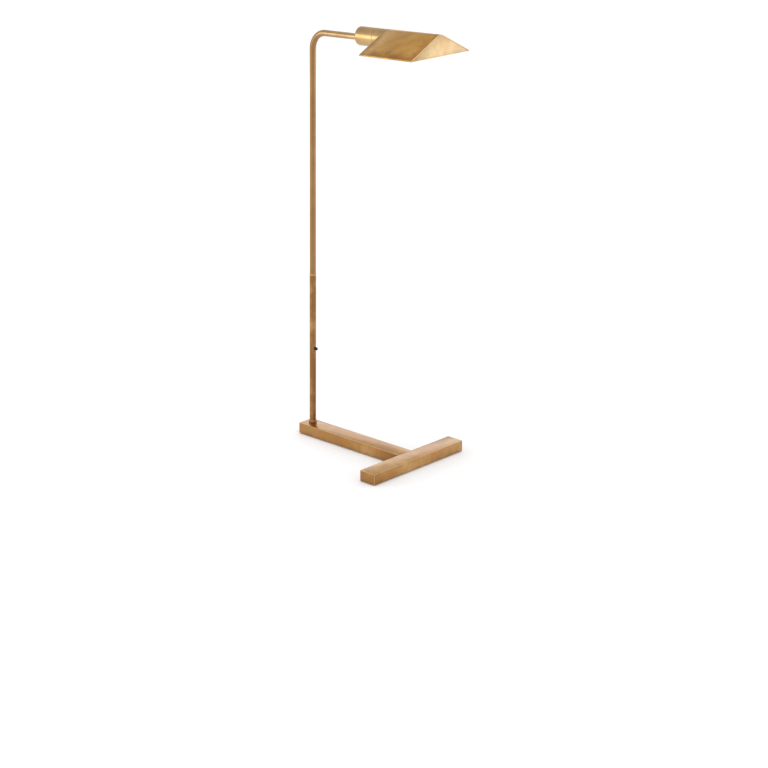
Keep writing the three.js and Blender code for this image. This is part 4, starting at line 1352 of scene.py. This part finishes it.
# ------------------------------------------------------------------ shade
@dataclass
class Shade(Assembly):
    """The tent shade and the collar that it turns on."""

    start: float = 266 * MM
    length: float = 178 * MM
    half_width: float = 110.5 * MM
    ridge: float = 25.5 * MM  # radius of the roof's bend along the ridge, about the cup's axis
    depth: float = 55.1 * MM
    sheet: float = 1.2 * MM
    lip: float = 3 * MM
    setback: float = 0.6 * MM
    gap: float = 0.3 * MM
    bore: float = 16.5 * MM
    spigot_bore: float = 20.7 * MM
    ridge_steps: int = 24
    spigot_radius: float = 22.4 * MM
    spigot_length: float = 15 * MM
    flange: float = 5 * MM
    cup_radius: float = CUP_RADIUS
    cup_end: float = 231 * MM
    turning_gap: float = 0.6 * MM  # between the cup's mouth and the collar
    screw_hole: float = 1.8 * MM
    ring_thickness: float = 2 * MM

    def build(self) -> None:
        """Builds the whole shade."""
        self.roof()
        self.gables()
        self.collar()
        self.ring()
        self.ring_screws()

    def slope(self) -> float:
        """Pitch of the roof's sides, tangent to the ridge's bend, in radians."""
        eave, half = self.foot() + self.lip, self.half_width
        return math.asin(self.ridge / math.hypot(eave, half)) - math.atan2(eave, half)

    def profile(self, inside: float, steps: int) -> list[Point2]:
        """Outline across the shade, from one lip's lower edge over the ridge to the other.

        Args:
            inside: Its depth inside the roof's outer face.
            steps: Steps of the bend along the ridge.

        Returns:
            Points of (y, z) in the cup's axes.
        """
        y, radius, pitch = self.half_width - inside, self.ridge - inside, self.slope()
        eave = radius / math.cos(pitch) - y * math.tan(pitch)
        bend = arc((0.0, 0.0), radius, 90 - math.degrees(pitch), 90 + math.degrees(pitch), steps)
        return [(y, self.foot()), (y, eave), *bend, (-y, eave), (-y, self.foot())]

    def foot(self) -> float:
        """Height of the lips' lower edge from the cup's axis."""
        return self.ridge - self.depth

    def finish(self, name: str, edges: Mask, **changes: Any) -> bpy.types.Material:
        """Brass of the shade, in the cup's axes."""
        settings = {"grain": Grain.ALONG_X, "frame": self.layout.head, "edges": edges, **changes}
        return AgedBrass(name, **settings).make()

    def roof(self) -> None:
        """The bent sheet: a chain of edges across the ridge, extruded and given its wall."""
        chain = [(self.start, y, z) for y, z in self.profile(0.0, self.ridge_steps)]
        piece = Bench.outline("shade_cover", chain)
        with Bench.editing(piece):
            bpy.ops.mesh.select_mode(type="EDGE")
            bpy.ops.mesh.select_all(action="SELECT")
            step = {"value": (self.length, 0, 0)}
            bpy.ops.mesh.extrude_region_move(TRANSFORM_OT_translate=step)
            Bench.close()
        top = max(piece.data.polygons, key=lambda polygon: polygon.center.z)
        if top.normal.z < 0:
            with Bench.editing(piece):
                bpy.ops.mesh.select_all(action="SELECT")
                bpy.ops.mesh.flip_normals()
        Bench.apply(piece, "SOLIDIFY", thickness=self.sheet, offset=-1.0, use_even_offset=True)
        Bench.ease(piece, 0.25 * MM, 2, 30)
        Bench.install(piece, self.layout.head.matrix())
        end, eave = self.start + self.length, self.foot() + self.lip
        edges = SheetEdges(self.start, end, self.half_width, eave)
        colours = {"body": (0.56, 0.305, 0.072), "pale": (0.70, 0.46, 0.18), "coat": 0.1}
        front = Fading(0, end, self.start + 0.4 * self.length, 0.22)
        shading = {"streaks": 0.5, "shift": (0.05, 0.3, 0.0), "dark": front}
        stain = {"stain": 0.6, "stain_reach": 28 * MM}
        look = self.finish("roof_finish", edges, **colours, **shading, **stain)
        self.fit(piece, "shade", "shade_brass", look, "shade_roof")

    def gable(self, name: str, place: float) -> bpy.types.Object:
        """One gable plate, its outer outline extruded by the sheet's thickness."""
        corners = self.profile(self.sheet + self.gap, self.ridge_steps)
        points = [(place, y, z) for y, z in [*corners, corners[0]]]
        piece = Bench.outline(name, points)
        with Bench.editing(piece):
            bpy.ops.mesh.select_all(action="SELECT")
            bpy.ops.mesh.remove_doubles(threshold=2e-6)
            bpy.ops.mesh.select_all(action="SELECT")
            bpy.ops.mesh.edge_face_add()
            step = {"value": (self.sheet, 0, 0)}
            bpy.ops.mesh.extrude_region_move(TRANSFORM_OT_translate=step)
            Bench.close()
        return piece

    def gables(self) -> None:
        """The front gable, and the rear one with the bulb's hole and the screw holes."""
        apex = (self.ridge - self.sheet - self.gap) / math.cos(self.slope())
        edges = GableEdges(apex, self.foot(), self.slope())
        front = self.gable("front_plate", self.start + self.length - self.setback - self.sheet)
        rear = self.gable("rear_plate", self.start + self.setback)
        low, high = self.start - 5 * MM, self.start + 10 * MM
        holes = [Bench.lay(Bench.rod("bulb_hole", self.bore, low, high, FINE), TO_X)]
        for y, z in self.screw_ring():
            hole = Bench.rod("screw_hole", self.screw_hole, low, high)
            holes.append(Bench.lay(hole, moved(y=y, z=z) @ TO_X))
        Bench.cut(rear, *holes)
        for piece, node, shift in (
            (front, "shade_front_gable", (0.7, 0.2, 0.4)),
            (rear, "shade_rear_gable", (0.9, 0.1, 0.2)),
        ):
            Bench.ease(piece, 0.2 * MM, 2, 60)
            Bench.install(piece, self.layout.head.matrix())
            # painted highlight: the gables get a paler, less saturated body than the roof, standing
            # in for their bright sheen
            colours = {"body": (0.49, 0.36, 0.19), "pale": (0.58, 0.45, 0.26), "coat": 0.3}
            shading = {"grain": Grain.ALONG_Y, "streaks": 0.5, "shift": shift}
            stain = {"stain": 0.25, "stain_reach": 6 * MM}
            look = self.finish(f"{piece.name}_finish", edges, **colours, **shading, **stain)
            self.fit(piece, "shade", "shade_brass", look, node)

    def screw_ring(self) -> list[Point2]:
        """Where the three ring screws are, across the arm."""
        circle = (self.bore + self.spigot_bore) / 2
        angles = [math.pi / 2 + math.tau * index / 3 for index in range(3)]
        return [(circle * math.cos(angle), circle * math.sin(angle)) for angle in angles]

    def collar(self) -> None:
        """The collar: a spigot in the cup, a band as wide as the cup, and a flange."""
        start = self.cup_end + self.turning_gap
        end, face = self.start - self.gap, self.start + self.setback - self.gap
        inner_end, seat = start - self.spigot_length, end - self.flange
        profile = [
            (self.spigot_bore, inner_end),
            (self.spigot_radius, inner_end),
            (self.spigot_radius, start),
            (self.cup_radius - 0.25 * MM, start),
            (self.cup_radius, start + 0.25 * MM),
            (self.cup_radius, end),
            (self.spigot_bore, end),
            (self.spigot_bore, face),
            (self.bore, face),
            (self.bore, seat),
            (self.spigot_bore, seat),
        ]
        piece = Bench.turned("swivel_collar", profile, FINE)
        for y, z in self.screw_ring():
            hole = Bench.rod("thread_hole", self.screw_hole, seat - MM, end + 2 * MM)
            Bench.cut(piece, Bench.lay(hole, moved(-z, y)))
        Bench.install(piece, self.layout.along_cup())
        look = cup_brass("collar_finish", self.layout.head, (0.44, 0.285, 0.12))
        self.fit(piece, "shade", "antique_brass", look, "shade_collar")

    def ring(self) -> None:
        """The steel ring that clamps the rear gable to the collar."""
        start = self.start + self.setback + self.sheet + self.gap
        inner, outer, end = self.bore, self.spigot_bore, start + self.ring_thickness
        profile = [(inner, start), (outer, start), (outer, end), (inner, end)]
        piece = Bench.turned("inner_ring", profile, FINE)
        Bench.ease(piece, 0.2 * MM)
        for y, z in self.screw_ring():
            hole = Bench.rod("ring_hole", self.screw_hole, start - MM, start + 3 * MM)
            Bench.cut(piece, Bench.lay(hole, moved(-z, y)))
        Bench.install(piece, self.layout.along_cup())
        self.fit(piece, "shade", "plated_steel", PlatedSteel("ring_finish").make(), "shade_ring")

    def ring_screws(self) -> None:
        """The three pan-head screws, with slots."""
        look = PlatedSteel("ring_screw_finish").make()
        ring = self.start + self.setback + self.sheet + self.gap
        head = ring + self.ring_thickness + self.gap
        shank, radius = 1.5 * MM, 2.6 * MM
        profile = [
            (0.0, head - 8 * MM),
            (shank, head - 8 * MM),
            (shank, head),
            (radius, head),
            *arc((radius - 1.3 * MM, head + 0.3 * MM), 1.3 * MM, 0, 70, 5),
            (0.0, head + 1.6 * MM),
        ]
        profile = [(r, min(z, head + 1.6 * MM)) for r, z in profile]
        for index, (y, z) in enumerate(self.screw_ring(), 1):
            piece = Bench.turned(f"ring_screw_{index}", profile, SMALL)
            slot_low = (-0.35 * MM, -4 * MM, head + 0.8 * MM)
            slot_high = (0.35 * MM, 4 * MM, head + 3 * MM)
            Bench.cut(piece, Bench.block("driver_slot", slot_low, slot_high))
            turn = Matrix.Rotation(0.7 * index, 4, "Z")
            Bench.install(piece, self.layout.along_cup() @ moved(-z, y) @ turn)
            self.fit(piece, "shade", "plated_steel", look, f"shade_screw_{index}")


# ------------------------------------------------------------------ studio
@dataclass(frozen=True)
class SoftBox:
    """One soft area light."""

    name: str
    place: tuple[float, float, float]
    aim: tuple[float, float, float]
    size: tuple[float, float]
    power: float

    def hang(self) -> None:
        """Hangs the light."""
        Bench.clear()
        bpy.ops.object.light_add(type="AREA", location=self.place)
        made = bpy.context.object
        made.name = self.name
        made.data.shape = "RECTANGLE"
        made.data.size, made.data.size_y = self.size
        made.data.energy = self.power
        direction = Vector(self.aim) - Vector(self.place)
        made.rotation_euler = direction.to_track_quat("-Z", "Y").to_euler()


@dataclass(frozen=True)
class Overhead:
    """A broad light from straight above, which whitens the floor evenly."""

    strength: float = 1.0
    spread: float = 30.0  # in degrees

    def hang(self) -> None:
        """Hangs the light."""
        Bench.clear()
        bpy.ops.object.light_add(type="SUN", location=(0.0, 0.0, 5.0))
        made = bpy.context.object
        made.name = "overhead_light"
        made.data.energy = self.strength
        made.data.angle = math.radians(self.spread)


@dataclass
class Studio:
    """The plain floor, the soft lights and the camera."""

    camera_place: tuple[float, float, float] = (3.8508, -4.2366, 2.1639)
    azimuth: float = -48.164  # of the camera seen from the lamp, in degrees
    elevation: float = 18.969
    roll: float = 0.625
    lens: float = 104.51
    floor_size: float = 60.0
    sky: float = 0.8

    def build(self) -> None:
        """Builds the studio."""
        self.floor()
        self.lights()
        self.camera()
        bpy.context.scene.view_settings.view_transform = "Standard"

    def floor(self) -> None:
        """A large pale floor."""
        Bench.clear()
        bpy.ops.mesh.primitive_plane_add(size=self.floor_size)
        floor = Bench.named("studio_floor")
        graph = Graph("floor_finish")
        place = Frame().place(graph)
        cloud = graph.noise(place, (0.8, 0.8, 0.8), 2.0)
        colour = graph.blend(cloud, (0.90, 0.90, 0.90), (0.93, 0.93, 0.93))
        graph.surface({"Base Color": colour, "Roughness": 0.9, "Specular IOR Level": 0.2})
        floor.data.materials.append(graph.material)

    def lights(self) -> None:
        """A pale sky, a broad light overhead and three soft boxes."""
        world = bpy.data.worlds.new("studio_sky")
        world.use_nodes = True
        background = world.node_tree.nodes["Background"]
        background.inputs["Color"].default_value = (1.0, 1.0, 1.0, 1.0)
        background.inputs["Strength"].default_value = self.sky
        bpy.context.scene.world = world
        for light in (
            Overhead(),
            SoftBox("left_box", (-3.2, -3.8, 1.4), (0.0, 0.0, 1.0), (2.6, 2.0), 46.0),
            SoftBox("back_box", (2.7, 2.8, 0.9), (0.2, 0.0, 1.1), (3.0, 1.8), 25.0),
            SoftBox("rear_box", (-3.6, 4.0, 1.7), (0.0, 0.0, 0.3), (3.0, 1.6), 14.0),
        ):
            light.hang()

    def camera(self) -> None:
        """The camera, level with the lamp's upper half and looking down at it."""
        Bench.clear()
        bpy.ops.object.camera_add(location=self.camera_place)
        camera = bpy.context.object
        camera.name = "studio_camera"
        camera.data.lens = self.lens
        camera.data.sensor_width = 36.0
        camera.data.clip_end = 200.0
        turn = Matrix.Rotation(math.radians(90 + self.azimuth), 4, "Z")
        pitch = Matrix.Rotation(math.radians(90 - self.elevation), 4, "X")
        roll = Matrix.Rotation(math.radians(self.roll), 4, "Z")
        camera.matrix_world = Matrix.Translation(self.camera_place) @ turn @ pitch @ roll
        bpy.context.scene.camera = camera


def main() -> None:
    """Builds every sub-assembly in order, then the studio."""
    logging.basicConfig(level=logging.INFO, format="%(message)s")
    layout = Layout.read()
    for assembly in (
        TeeBase(layout=layout),
        Pole(layout=layout),
        HeightLock(layout=layout),
        ArmTube(layout=layout),
        SocketCup(layout=layout),
        Shade(layout=layout),
    ):
        assembly.build()
    Studio().build()


if __name__ == "__main__":
    main()
